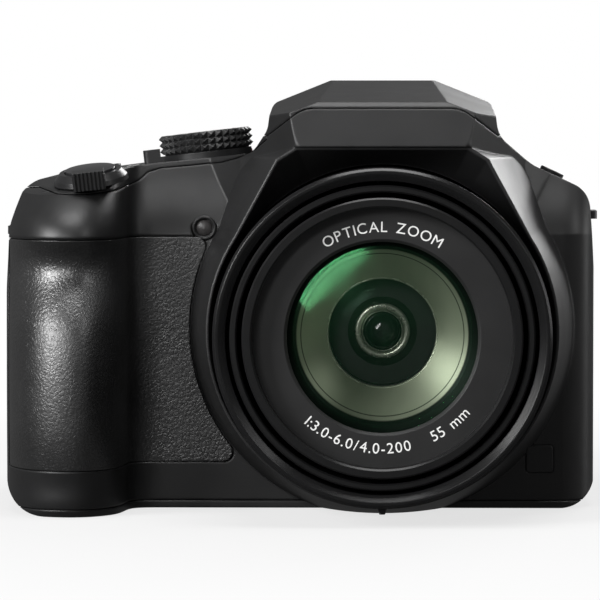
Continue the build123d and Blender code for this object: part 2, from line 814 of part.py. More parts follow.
def cap_region(gap=0.0):
    """Flash cap: above its curved seam, with a round hinge end between two shoulders."""
    floor = BODY_HEIGHT - SEAM_DROP - gap
    side_floor = BODY_HEIGHT - SEAM_SIDE_DROP - gap
    side = HUMP_HALF + SHOULDER_INSET
    top = BODY_HEIGHT + OVERRUN
    face = outline(
        [
            (-side, top), (-side, side_floor), (-HUMP_HALF, side_floor), (-SEAM_HALF, floor),
            (SEAM_HALF, floor), (HUMP_HALF, side_floor), (side, side_floor), (side, top),
        ],
        [0, 0, 0, SEAM_BEND, SEAM_BEND, 0, 0, 0],
    )
    half = HINGE_HALF + gap
    above = front_slab(face, -3 * OVERRUN, HINGE_Y)
    wide = block(-side, side, -3 * OVERRUN, HINGE_Y - HINGE_CHEEK + gap, 0, 2 * top)
    narrow = block(-half, half, -2 * OVERRUN, HINGE_Y, 0, 2 * top)
    round_end = rod((-half, HINGE_Y, HINGE_Z), (1, 0, 0), HINGE_DROP + gap, 2 * half)
    return (above & (wide + narrow)) + round_end


def top_region(gap=0.0):
    """Top cover: above the stepped seam on the grip side, and above a level seam behind."""
    points = []
    for across, up in top_seam_shares:
        points.append((LEFT_X + across * BODY_WIDTH, up * BODY_HEIGHT - gap))
    top = BODY_HEIGHT + OVERRUN
    start = (LEFT_X - OVERRUN, TOP_SEAM - gap)
    grip_side = outline([start] + points + [(points[-1][0], top), (start[0], top)])
    level = block(
        LEFT_X - OVERRUN, RIGHT_X + OVERRUN, TOP_SHELL_FRONT - gap, REAR_Y + OVERRUN, TOP_SEAM - gap, top,
    )
    return front_slab(grip_side, -3 * OVERRUN, TOP_SHELL_FRONT + gap) + level


def rubber_prism(gap=0.0):
    """Front view of the grip skin, ending on an arc about the lens."""
    left = LEFT_X + RUBBER_INSET - gap
    bottom = RUBBER_BOTTOM - gap
    top = RUBBER_TOP + gap
    right = -RUBBER_REACH + OVERRUN / 2
    sheet = outline([(left, bottom), (right, bottom), (right, top), (left, top)])
    sheet = sheet - Pos(0, AXIS_HEIGHT) * Circle(RUBBER_ARC - gap)
    corners = sheet.vertices()
    sheet = fillet([corner for corner in corners if corner.X > LEFT_X + GRIP_WIDTH], RUBBER_CORNER)
    return front_slab(sheet, -3 * OVERRUN, RUBBER_REAR)


def bottom_region(gap=0.0):
    reach = 4 * OVERRUN
    slab = block(-reach, reach, -reach, reach, -OVERRUN, BASE_THICKNESS + gap)
    return slab - tube(COWL_Y - OVERRUN, FRONT_Y, 0, COWL_ROOT_RADIUS)


def disc(plane, radius, bottom, top):
    return plane * Pos(0, 0, bottom) * extrude(Circle(radius), amount=top - bottom)


def button(plane, radius, proud=BUTTON_PROUD):
    """Round plug with a softened rim, standing proud of its plane."""
    plug = extrude(Circle(radius), amount=PLUG_DEPTH + proud)
    rim = plug.edges().group_by(Axis.Z)[-1]
    return plane * Pos(0, 0, -PLUG_DEPTH) * fillet(rim, BUTTON_EDGE)


def button_hole(plane, radius):
    return disc(plane, radius + MOVING_GAP, -PLUG_DEPTH - BUTTON_TRAVEL - MOVING_GAP, OVERRUN)


def rear_plane(x, z):
    return Plane(origin=(x, REAR_Y, z), x_dir=(-1, 0, 0), z_dir=(0, 1, 0))


def shoulder_plane(x, y):
    height, slope = shoulder(x)
    return Plane(origin=(x, y, height), x_dir=(1, 0, slope), z_dir=(-slope, 0, 1))


def dial_plane():
    slope = math.tan(math.radians(DIAL_TILT))
    return Plane(origin=(DIAL_X, DIAL_Y, BODY_HEIGHT - DIAL_DROP), x_dir=(1, 0, slope), z_dir=(-slope, 0, 1))


def small_controls():
    """Round push buttons, each with the plane of its seat."""
    finder_height = BODY_HEIGHT - FINDER_BUTTON_DROP
    return {
        "drive_button": (shoulder_plane(LEFT_X + DRIVE_FROM_SIDE, DRIVE_Y), DRIVE_BUTTON_RADIUS),
        "video_button": (shoulder_plane(VIDEO_X, VIDEO_Y), VIDEO_BUTTON_RADIUS),
        "flash_button": (shoulder_plane(RIGHT_X - FLASH_BUTTON_FROM_SIDE, FLASH_BUTTON_Y), FLASH_BUTTON_RADIUS),
        "viewfinder_button": (rear_plane(FINDER_BUTTON_X, finder_height), FINDER_BUTTON_RADIUS),
        "playback_button": (rear_plane(PAD_X, PAD_HEIGHT + REVIEW_BUTTON_LIFT), REVIEW_BUTTON_RADIUS),
        "delete_button": (
            rear_plane(PAD_X + ERASE_BUTTON_SHIFT, PAD_HEIGHT - ERASE_BUTTON_LIFT), ERASE_BUTTON_RADIUS,
        ),
        "set_button": (rear_plane(PAD_X, PAD_HEIGHT), SET_BUTTON_RADIUS),
    }


def rear_sheet(width, height, corner, x, z, y0, y1):
    """Rounded plate square to the rear, between two depths."""
    face = Pos(x, z) * RectangleRounded(width, height, corner)
    return front_slab(face, y0, y1)


def screw_places():
    front = FRONT_Y + SCREW_INSET
    rear = REAR_Y - SCREW_INSET
    return [
        (SCREW_LEFT, front, FRONT_Y + WALL), (SCREW_RIGHT, front, FRONT_Y + WALL),
        (SCREW_LEFT, rear, REAR_Y - WALL), (SCREW_RIGHT, rear, REAR_Y - WALL),
    ]


def boss(x, y, wall_y):
    """Screw boss with a web to the nearest wall."""
    start = BASE_THICKNESS + SEAM_GAP
    low, high = sorted((y, wall_y + math.copysign(WALL / 4, wall_y - y)))
    post = disc(Plane(origin=(x, y, 0)), BOSS_RADIUS, start, BOSS_HEIGHT)
    web = block(x - WEB_HALF, x + WEB_HALF, low, high, start, BOSS_HEIGHT)
    return post + web


def screw_hole(x, y):
    seat = SCREW_HEAD_HEIGHT + SEAM_GAP
    head = disc(Plane(origin=(x, y, 0)), SCREW_HEAD_RADIUS + SEAM_GAP, -OVERRUN, seat)
    return head + disc(Plane(origin=(x, y, 0)), SCREW_RADIUS + FIT_GAP, 0, SCREW_LENGTH + SEAM_GAP)


def battery_box():
    left = LEFT_X + BATTERY_FROM_SIDE
    floor = BASE_THICKNESS + MOVING_GAP
    return (
        left, left + BATTERY_WIDTH, BATTERY_FRONT, BATTERY_FRONT + BATTERY_LENGTH, floor, floor + BATTERY_HEIGHT,
    )


def card_box():
    right = LEFT_X + BATTERY_FROM_SIDE - CARD_SPACING
    floor = BASE_THICKNESS + MOVING_GAP
    return (right - CARD_THICKNESS, right, CARD_Y, CARD_Y + CARD_LENGTH, floor, floor + CARD_HEIGHT)


def grown(box, gap):
    return (box[0] - gap, box[1] + gap, box[2] - gap, box[3] + gap, box[4], box[5] + gap)


def door_box(gap=0.0):
    """Plan of the battery door, which covers the battery and the card."""
    battery = battery_box()
    card = card_box()
    rim = DOOR_RIM - gap
    return (card[0] - rim, battery[1] + rim, battery[2] - rim, battery[3] + rim)


def door_prism(gap, top):
    x0, x1, y0, y1 = door_box()
    return block(x0 - gap, x1 + gap, y0 - gap, y1 + gap, -OVERRUN, top)


def port_face(gap):
    middle_y = PORT_DOOR_FRONT + PORT_DOOR_LENGTH / 2
    middle_z = PORT_DOOR_BOTTOM + PORT_DOOR_HEIGHT / 2
    width = PORT_DOOR_LENGTH + 2 * gap
    height = PORT_DOOR_HEIGHT + 2 * gap
    return Pos(middle_y, middle_z) * RectangleRounded(width, height, SCREEN_CORNER)


def lug(side_x, outward, height):
    """Strap lug: a thin plate with a slot beside the cover's wall."""
    root = side_x - outward * LUG_ROOT
    tip = side_x + outward * LUG_REACH
    slot = side_x + outward * SEAM_GAP
    slot_end = tip - outward * LUG_BAR
    half = LUG_THICKNESS / 2
    y0 = LUG_Y - LUG_LENGTH / 2
    y1 = LUG_Y + LUG_LENGTH / 2
    plate = block(min(root, tip), max(root, tip), y0, y1, height - half, height + half)
    plate = fillet(plate.edges().filter_by(Axis.Z).sort_by(Axis.X)[-2 if outward > 0 else 0:][:2], LUG_BAR)
    opening = block(
        min(slot, slot_end), max(slot, slot_end), y0 + 1.5 * LUG_BAR, y1 - 1.5 * LUG_BAR,
        height - LUG_THICKNESS, height + LUG_THICKNESS,
    )
    return plate - opening


def strap_lugs():
    left = lug(LEFT_X + LUG_SIDE_INSET, -1, LEFT_LUG_HEIGHT)
    right = lug(RIGHT_X - LUG_SIDE_INSET, 1, RIGHT_LUG_HEIGHT)
    return left, right


def head_plane():
    turn = math.radians(HEAD_TILT)
    return Plane(
        origin=(0, HEAD_Y, BODY_HEIGHT - HEAD_DROP), x_dir=(1, 0, 0), z_dir=(0, -math.cos(turn), -math.sin(turn)),
    )


def head_box(width, height, front_depth, back_depth):
    """Box inside the flash head, between two depths behind its front face."""
    middle = HEAD_DEPTH / 2 - (front_depth + back_depth) / 2
    return head_plane() * Pos(0, 0, middle) * Box(width, height, back_depth - front_depth)


def flash_parts(body):
    cap = body & cap_region()
    front = COWL_Y - COWL_ROOT_SINK + RECESS_SETBACK + SEAM_GAP + CAP_WALL
    rise = CAP_FRONT_DROP - CAP_WALL
    rear = HINGE_Y - HINGE_CHEEK - CAP_WALL
    roof = BODY_HEIGHT - CAP_WALL
    hollow = side_slab(
        outline([
            (front, roof - rise - CAP_WALL / 2), (CAP_SLOPE_END, roof), (rear, roof),
            (rear, AXIS_HEIGHT), (front, AXIS_HEIGHT),
        ]),
        -HUMP_HALF, HUMP_HALF,
    )
    half = HUMP_HALF - 2 * CAP_WALL
    ridge = half / 2
    under = outline([
        (-ridge, roof), (ridge, roof), (half, roof - SEAM_DROP + CAP_WALL), (half, AXIS_HEIGHT),
        (-half, AXIS_HEIGHT), (-half, roof - SEAM_DROP + CAP_WALL),
    ])
    lowered = Pos(0, 0, -CAP_WALL) * body
    cap = cap - (hollow & front_slab(under, -3 * OVERRUN, 0) & lowered)
    cheek_points = []
    for along, up in cheek_shares:
        cheek_points.append((HEAD_Y + along * HEAD_DEPTH, BODY_HEIGHT - HEAD_DROP + up * HEAD_DEPTH))
    inner = HEAD_WIDTH / 2
    cheek = outline(cheek_points)
    cheeks = side_slab(cheek, inner, inner + CHEEK_WALL) + side_slab(cheek, -inner - CHEEK_WALL, -inner)
    width = HEAD_WIDTH - 2 * HEAD_WALL
    height = HEAD_HEIGHT - 2 * HEAD_WALL
    depth = WINDOW_THICKNESS + REFLECTOR_DEPTH
    cap = cap + (head_box(HEAD_WIDTH, HEAD_HEIGHT, 0, HEAD_DEPTH) + cheeks & Pos(0, 0, -CAP_WALL / 2) * body)
    cap = cap - head_box(width, height, -OVERRUN / 10, depth)
    pin_end = HINGE_HALF + HINGE_PIN_OVERHANG
    pin = rod((-pin_end, HINGE_Y, HINGE_Z), (1, 0, 0), HINGE_PIN_RADIUS, 2 * pin_end)
    cap = cap - rod((-pin_end, HINGE_Y, HINGE_Z), (1, 0, 0), HINGE_PIN_RADIUS + FIT_GAP, 2 * pin_end)
    trough = height / 2 - REFLECTOR_SKIN
    middle = HEAD_DEPTH / 2 - depth + REFLECTOR_SKIN + trough
    channel = head_plane() * Pos(-width, 0, middle) * Rot(0, 90, 0) * extrude(Circle(trough), amount=2 * width)
    opening = head_box(2 * width, 2 * trough, WINDOW_THICKNESS - OVERRUN / 10, depth - REFLECTOR_SKIN - trough)
    reflector = head_box(width, height, WINDOW_THICKNESS, depth) - channel - opening
    tube_length = width - 2 * FIT_GAP
    lamp = head_plane() * Pos(-tube_length / 2, 0, middle) * Rot(0, 90, 0)
    return {
        "flash_cap": cap,
        "flash_window": head_box(width, height, 0, WINDOW_THICKNESS),
        "flash_reflector": reflector,
        "flash_tube": lamp * extrude(Circle(TUBE_RADIUS), amount=tube_length),
        "flash_hinge_pin": pin,
    }


def cover_parts(body):
    """The four covers, the rubber skin and the terminal and battery doors."""
    shell = body - cap_region(SEAM_GAP)
    for hollow in cavity():
        shell = shell - hollow
    reach = 4 * OVERRUN
    lugs = strap_lugs()
    above_base = shell - bottom_region(SEAM_GAP)
    top = above_base & top_region()
    lower = above_base - top_region(SEAM_GAP)
    front = lower & block(-reach, reach, -reach, REAR_SEAM - SEAM_GAP, -reach, reach)
    rear = lower & block(-reach, reach, REAR_SEAM, reach, -reach, reach)
    bottom = body & bottom_region()

    for place in screw_places():
        if place[1] < REAR_SEAM:
            front = front + boss(*place)
        else:
            rear = rear + boss(*place)
    for x, y, _ in screw_places():
        hole = screw_hole(x, y)
        bottom = bottom - hole
        if y < REAR_SEAM:
            front = front - hole
        else:
            rear = rear - hole

    skin = lower_block() - lower_block(RUBBER_THICKNESS)
    rubber = skin & rubber_prism()
    front = front - (skin & rubber_prism(SEAM_GAP))
    front = front - lugs[0] - lugs[1]
    top = top - lugs[0] - lugs[1]
    lamp = (LAMP_X, FRONT_Y - LAMP_RADIUS, LAMP_HEIGHT)
    lamp_floor = LAMP_RADIUS + LAMP_RECESS_DEPTH
    lamp_room = rod(lamp, (0, 1, 0), LAMP_RECESS_RADIUS, lamp_floor)
    lamp_room = lamp_room + rod(lamp, (0, 1, 0), LAMP_RADIUS + FIT_GAP, lamp_floor + LAMP_DEPTH)
    front = front - lamp_room
    top = top - lamp_room
    badge_seat = RectangleRounded(BADGE_SIZE + FIT_GAP, BADGE_SIZE + FIT_GAP, BADGE_CORNER)
    badge_seat = front_slab(
        Pos(BADGE_X, BADGE_HEIGHT) * badge_seat, FRONT_Y - BADGE_SIZE, FRONT_Y + BADGE_THICKNESS - BADGE_PROUD,
    )
    front = front - badge_seat
    front = front - side_slab(port_face(SEAM_GAP), RIGHT_X - WALL - MOVING_GAP, RIGHT_X + OVERRUN)
    pin_end = HINGE_HALF + HINGE_PIN_OVERHANG + SEAM_GAP
    front = front - rod((-pin_end, HINGE_Y, HINGE_Z), (1, 0, 0), HINGE_PIN_RADIUS + FIT_GAP, 2 * pin_end)
    ports = body & side_slab(port_face(0), RIGHT_X - PORT_DOOR_THICKNESS, RIGHT_X + OVERRUN)

    controls = small_controls()
    for name in ("drive_button", "video_button", "flash_button", "viewfinder_button"):
        plane, radius = controls[name]
        top = top - button_hole(plane, radius)
        front = front - button_hole(plane, radius)
    for name in ("playback_button", "delete_button"):
        plane, radius = controls[name]
        rear = rear - button_hole(plane, radius)
    rear = rear - button_hole(rear_plane(PAD_X, PAD_HEIGHT), PAD_RADIUS)

    dial = dial_plane()
    ring_room = LEVER_RING_RADIUS + LEVER_KNOB_REACH + 2 * MOVING_GAP
    lever_room = dial * Pos(-ring_room / 2, 0, OVERRUN / 2) * Box(ring_room, 2 * LEVER_SWEEP_HALF, OVERRUN)
    dial_room = disc(dial, DIAL_RADIUS + 2 * MOVING_GAP, 0, OVERRUN)
    dial_room = dial_room + (lever_room & disc(dial, ring_room, 0, OVERRUN))
    dial_room = dial_room + disc(dial, DIAL_STEM_RADIUS + MOVING_GAP, -OVERRUN / 3, OVERRUN)
    shutter_room = disc(plateau_plane(), ZOOM_RING_RADIUS + MOVING_GAP, 0, OVERRUN)
    shutter_room = shutter_room + disc(plateau_plane(), SHUTTER_STEM_RADIUS + MOVING_GAP, -OVERRUN / 3, OVERRUN)
    top = top - dial_room - shutter_room
    front = front - dial_room - shutter_room
    finder = (EYEPIECE_WIDTH + 2 * SEAM_GAP, EYEPIECE_TALL + 2 * SEAM_GAP, EYEPIECE_CORNER)
    finder_room = rear_sheet(*finder, 0, EYEPIECE_HEIGHT, REAR_Y - WALL - SEAM_GAP, REAR_Y + OVERRUN)
    diopter = rear_plane(DIOPTER_X, EYEPIECE_HEIGHT)
    diopter_room = disc(diopter, DIOPTER_STEM_RADIUS + MOVING_GAP, -PLUG_DEPTH - MOVING_GAP, OVERRUN)
    top = top - finder_room - diopter_room
    rear = rear - finder_room - diopter_room

    screen_gap = 2 * FIT_GAP
    window = (SCREEN_WIDTH + 2 * screen_gap, SCREEN_HEIGHT + 2 * screen_gap, SCREEN_CORNER)
    rear = rear - rear_sheet(*window, SCREEN_X, SCREEN_Z, REAR_Y - SCREEN_THICKNESS, REAR_Y + OVERRUN)
    panel_width = SCREEN_WIDTH - 2 * PANEL_BORDER + 2 * screen_gap
    panel_height = SCREEN_HEIGHT - 2 * PANEL_BORDER + 2 * screen_gap
    panel = (panel_width, panel_height, SCREEN_CORNER)
    rear = rear - rear_sheet(*panel, SCREEN_X, SCREEN_Z, REAR_Y - 2 * WALL, REAR_Y)
    wheel_x = LEFT_X + REAR_DIAL_FROM_SIDE
    wheel_half = REAR_DIAL_RADIUS + MOVING_GAP
    slot_half = REAR_DIAL_THICKNESS / 2 + MOVING_GAP
    wheel_room = block(
        wheel_x - wheel_half, wheel_x + wheel_half, REAR_Y - 2 * WALL, REAR_Y + OVERRUN,
        REAR_DIAL_HEIGHT - slot_half, REAR_DIAL_HEIGHT + slot_half,
    )
    rear = rear - wheel_room
    top = top - wheel_room

    bottom = bottom - disc(Plane.XY, TRIPOD_RADIUS + TRIPOD_WALL, -OVERRUN, OVERRUN)
    door = bottom & door_prism(0, BASE_THICKNESS)
    bottom = bottom - door_prism(SEAM_GAP, OVERRUN)
    x0, x1, _, _ = door_box()
    latch_x = (x0 + x1) / 2
    latch_room = block(
        latch_x - LATCH_WIDTH / 2 - MOVING_GAP, latch_x + LATCH_WIDTH / 2 + MOVING_GAP,
        LATCH_Y - LATCH_LENGTH / 2 - LATCH_TRAVEL - MOVING_GAP, LATCH_Y + LATCH_LENGTH / 2 + MOVING_GAP,
        -OVERRUN, LATCH_THICKNESS + 2 * FIT_GAP,
    )
    door = door - latch_room
    latch = block(
        latch_x - LATCH_WIDTH / 2, latch_x + LATCH_WIDTH / 2,
        LATCH_Y - LATCH_LENGTH / 2, LATCH_Y + LATCH_LENGTH / 2, FIT_GAP, LATCH_THICKNESS,
    )
    for rib in range(LATCH_RIBS):
        rib_y = LATCH_Y + (rib - (LATCH_RIBS - 1) / 2) * LATCH_LENGTH / (2 * LATCH_RIBS)
        groove = LATCH_LENGTH / (8 * LATCH_RIBS)
        latch = latch - block(latch_x - LATCH_WIDTH / 3, latch_x + LATCH_WIDTH / 3,
                              rib_y - groove, rib_y + groove, 0, LATCH_THICKNESS / 3)
    return {
        "front_cover": front, "top_cover": top, "rear_cover": rear, "bottom_cover": bottom,
        "grip_rubber": rubber, "terminal_door": ports, "battery_door": door, "battery_latch": latch,
        "strap_lugs": Compound(children=list(lugs)),
    }


def dial_parts():
    """Mode dial with a pyramid knurl, and the power lever under it."""
    plane = dial_plane()
    ring_top = MOVING_GAP + LEVER_THICKNESS
    start = ring_top + MOVING_GAP
    row = DIAL_HEIGHT / DIAL_ROWS
    profile = [(0, start), (DIAL_RADIUS - DIAL_GROOVE, start)]
    for step in range(DIAL_ROWS):
        profile.append((DIAL_RADIUS, start + (step + 0.5) * row))
        profile.append((DIAL_RADIUS - DIAL_GROOVE, start + (step + 1) * row))
    profile.append((0, start + DIAL_HEIGHT))
    zigzag = revolve(Plane.XZ * outline(profile), Axis.Z)
    knurl = Pos(0, 0, start) * extrude(star_face(DIAL_RADIUS, DIAL_GROOVE, DIAL_COLUMNS), amount=DIAL_HEIGHT)
    dial = (zigzag & knurl) + Pos(0, 0, -PLUG_DEPTH) * extrude(Circle(DIAL_STEM_RADIUS), amount=start + PLUG_DEPTH)
    ring = disc(Plane.XY, LEVER_RING_RADIUS, MOVING_GAP, ring_top)
    knob_start = LEVER_RING_RADIUS - LEVER_KNOB_WIDTH / 4
    knob_end = LEVER_RING_RADIUS + LEVER_KNOB_REACH
    knob_half = LEVER_KNOB_WIDTH / 2
    knob = block(-knob_end, -knob_start, -knob_half, knob_half, MOVING_GAP, MOVING_GAP + LEVER_KNOB_HEIGHT)
    outer_edges = knob.edges().filter_by(Axis.Z).sort_by(Axis.X)[:2]
    knob = fillet(outer_edges, LEVER_KNOB_WIDTH / 4)
    knob = knob - disc(Plane.XY, DIAL_RADIUS + MOVING_GAP, ring_top, OVERRUN)
    lever = ring + knob - disc(Plane.XY, DIAL_STEM_RADIUS + MOVING_GAP, 0, OVERRUN)
    return {"mode_dial": plane * dial, "power_lever": plane * lever}


def shutter_parts():
    plane = plateau_plane()
    start = BUTTON_TRAVEL + SHUTTER_TRAVEL
    button_top = Pos(0, 0, start) * dome_stud(SHUTTER_RADIUS, SHUTTER_HEIGHT - start, SHUTTER_DOME)
    stem = disc(Plane.XY, SHUTTER_STEM_RADIUS, -PLUG_DEPTH, (start + SHUTTER_HEIGHT) / 2)
    ring_bottom = MOVING_GAP
    ring = revolve(
        Plane.XZ * outline([
            (SHUTTER_RADIUS + MOVING_GAP, ring_bottom), (ZOOM_RING_RADIUS, ring_bottom),
            (ZOOM_RING_RADIUS - KNURL_EDGE / 2, ZOOM_RING_HEIGHT / 2), (ZOOM_RING_TOP_RADIUS, ZOOM_RING_HEIGHT),
            (SHUTTER_RADIUS + MOVING_GAP, ZOOM_RING_HEIGHT),
        ]),
        Axis.Z,
    )
    half = ZOOM_TAB_WIDTH / 2
    tab = block(-half, half, -ZOOM_TAB_REACH, -ZOOM_TAB_REACH + ZOOM_TAB_DEPTH, ring_bottom, ZOOM_TAB_HEIGHT)
    tab = fillet(tab.edges().filter_by(Axis.Z).sort_by(Axis.Y)[:2], KNURL_EDGE)
    pitch = ZOOM_TAB_WIDTH / ZOOM_TAB_RIBS
    for rib in range(1, ZOOM_TAB_RIBS):
        x = -half + rib * pitch
        groove = block(x - pitch / 4, x + pitch / 4, -ZOOM_TAB_REACH, -ZOOM_TAB_REACH + ZOOM_RIB_DEPTH,
                       -OVERRUN, OVERRUN)
        tab = tab - groove
    return {"shutter_button": plane * (button_top + stem), "zoom_lever": plane * (ring + tab)}


def rear_parts():
    controls = small_controls()
    parts = {}
    for name, (plane, radius) in controls.items():
        parts[name] = button(plane, radius)
    pad_plane = rear_plane(PAD_X, PAD_HEIGHT)
    pad = button(pad_plane, PAD_RADIUS, PAD_PROUD) - disc(pad_plane, PAD_BORE, -OVERRUN, OVERRUN)
    parts["cursor_pad"] = pad
    wheel_plane = Plane(origin=(
        LEFT_X + REAR_DIAL_FROM_SIDE, REAR_Y + REAR_DIAL_PROUD - REAR_DIAL_RADIUS,
        REAR_DIAL_HEIGHT - REAR_DIAL_THICKNESS / 2,
    ))
    wheel = star_face(REAR_DIAL_RADIUS, KNURL_EDGE, REAR_DIAL_TEETH)
    parts["rear_dial"] = wheel_plane * extrude(wheel, amount=REAR_DIAL_THICKNESS)
    rest_x = LEFT_X + THUMB_REST_FROM_SIDE
    rest = rear_sheet(
        THUMB_REST_WIDTH, THUMB_REST_TALL, THUMB_REST_CORNER, rest_x, THUMB_REST_HEIGHT,
        REAR_Y, REAR_Y + THUMB_REST_THICKNESS,
    )
    parts["thumb_rest"] = fillet(rest.edges().group_by(Axis.Y)[-1], THUMB_REST_THICKNESS / 2)
    parts["lcd_window"] = rear_sheet(
        SCREEN_WIDTH, SCREEN_HEIGHT, SCREEN_CORNER, SCREEN_X, SCREEN_Z, REAR_Y - SCREEN_THICKNESS, REAR_Y,
    )
    panel_rear = REAR_Y - SCREEN_THICKNESS
    parts["lcd_panel"] = rear_sheet(
        SCREEN_WIDTH - 2 * PANEL_BORDER, SCREEN_HEIGHT - 2 * PANEL_BORDER, SCREEN_CORNER,
        SCREEN_X, SCREEN_Z, panel_rear - PANEL_THICKNESS, panel_rear,
    )
    cup = rear_sheet(
        EYECUP_WIDTH, EYECUP_HEIGHT, EYECUP_CORNER, 0, EYEPIECE_HEIGHT, REAR_Y, REAR_Y + EYECUP_DEPTH,
    )
    cup = fillet(cup.edges().group_by(Axis.Y)[-1], EYECUP_EDGE)
    parts["eyecup"] = cup - rear_sheet(
        EYECUP_WIDTH - 2 * EYECUP_WALL, EYECUP_HEIGHT - 2 * EYECUP_WALL, EYECUP_CORNER - EYECUP_WALL,
        0, EYEPIECE_HEIGHT, REAR_Y - OVERRUN, REAR_Y + OVERRUN,
    )
    parts["eyepiece_lens"] = rear_sheet(
        EYEPIECE_WIDTH, EYEPIECE_TALL, EYEPIECE_CORNER, 0, EYEPIECE_HEIGHT,
        REAR_Y - WALL + FIT_GAP, REAR_Y - WALL + EYEPIECE_THICKNESS,
    )
    finder_rear = REAR_Y - WALL
    parts["viewfinder_display"] = block(
        -FINDER_WIDTH / 2, FINDER_WIDTH / 2, finder_rear - FINDER_LENGTH, finder_rear,
        EYEPIECE_HEIGHT - FINDER_HEIGHT / 2, EYEPIECE_HEIGHT + FINDER_HEIGHT / 2,
    )
    diopter = rear_plane(DIOPTER_X, EYEPIECE_HEIGHT)
    wheel = extrude(star_face(DIOPTER_RADIUS, KNURL_EDGE, DIOPTER_TEETH), amount=DIOPTER_THICKNESS)
    parts["diopter_dial"] = diopter * Pos(0, 0, MOVING_GAP) * wheel + disc(
        diopter, DIOPTER_STEM_RADIUS, -PLUG_DEPTH, MOVING_GAP + DIOPTER_THICKNESS / 2,
    )
    return parts


def front_details():
    lamp_plane = Plane(origin=(LAMP_X, FRONT_Y + LAMP_RECESS_DEPTH + LAMP_DEPTH, LAMP_HEIGHT), z_dir=(0, -1, 0))
    badge = RectangleRounded(BADGE_SIZE, BADGE_SIZE, BADGE_CORNER)
    badge_front = FRONT_Y - BADGE_PROUD
    return {
        "af_lamp": lamp_plane * dome_stud(LAMP_RADIUS, LAMP_DEPTH - SEAM_GAP, LAMP_DOME),
        "badge_plate": front_slab(Pos(BADGE_X, BADGE_HEIGHT) * badge, badge_front, badge_front + BADGE_THICKNESS),
    }


def shoe_parts():
    front = HINGE_Y + HINGE_DROP + SHOE_FRONT_GAP
    rear = front + SHOE_LENGTH
    half = SHOE_WIDTH / 2
    slot = SHOE_SLOT_WIDTH / 2
    mouth = SHOE_MOUTH_WIDTH / 2
    floor = SHOE_SEAT + SHOE_BASE
    roof = floor + SHOE_SLOT_HEIGHT
    section = outline([
        (-half, SHOE_SEAT), (half, SHOE_SEAT), (half, BODY_HEIGHT), (mouth, BODY_HEIGHT), (mouth, roof),
        (slot, roof), (slot, floor), (-slot, floor), (-slot, roof), (-mouth, roof), (-mouth, BODY_HEIGHT),
        (-half, BODY_HEIGHT),
    ])
    middle = (front + rear) / 2
    places = [(0, middle, CENTRE_CONTACT_RADIUS)]
    for side in (-1, 1):
        for row in (1, 2):
            places.append((side * CONTACT_PITCH, middle + (row - 1) * CONTACT_PITCH, CONTACT_RADIUS))
    contacts = []
    for x, y, radius in places:
        contacts.append(disc(Plane(origin=(x, y, floor)), radius, 0, CONTACT_HEIGHT))
    return {"hot_shoe": front_slab(section, front, rear), "hot_shoe_contacts": Compound(children=contacts)}


def gear_face(teeth, phase):
    """Flat-sided teeth, thinner than their gaps so that a pair runs free."""
    pitch_radius = GEAR_MODULE * teeth / 2
    tip = pitch_radius + TOOTH_ADDENDUM
    root = pitch_radius - TOOTH_DEDENDUM
    step = 2 * math.pi / teeth
    points = []
    for tooth in range(teeth):
        middle = phase + tooth * step
        for turn, radius in zip(tooth_shares, (root, tip, tip, root)):
            angle = middle + turn * step
            points.append((radius * math.cos(angle), radius * math.sin(angle)))
    return outline(points)


def ring_chain():
    """Radii of the barrels, each from the one around it."""
    fixed_bore = fixed_radius() - FIXED_WALL
    cam = fixed_bore - CAM_GAP
    cam_bore = cam - CAM_WALL
    outer = cam_bore - BARREL_GAP
    outer_bore = outer - BARREL_WALL
    inner = outer_bore - INNER_GAP
    inner_bore = inner - BARREL_WALL
    return fixed_bore, cam, cam_bore, outer, outer_bore, inner, inner_bore


def lens_axis_plane(y, angle):
    turn = math.radians(angle)
    return Plane(origin=(0, y, AXIS_HEIGHT), x_dir=(math.cos(turn), 0, math.sin(turn)), z_dir=(0, -1, 0))


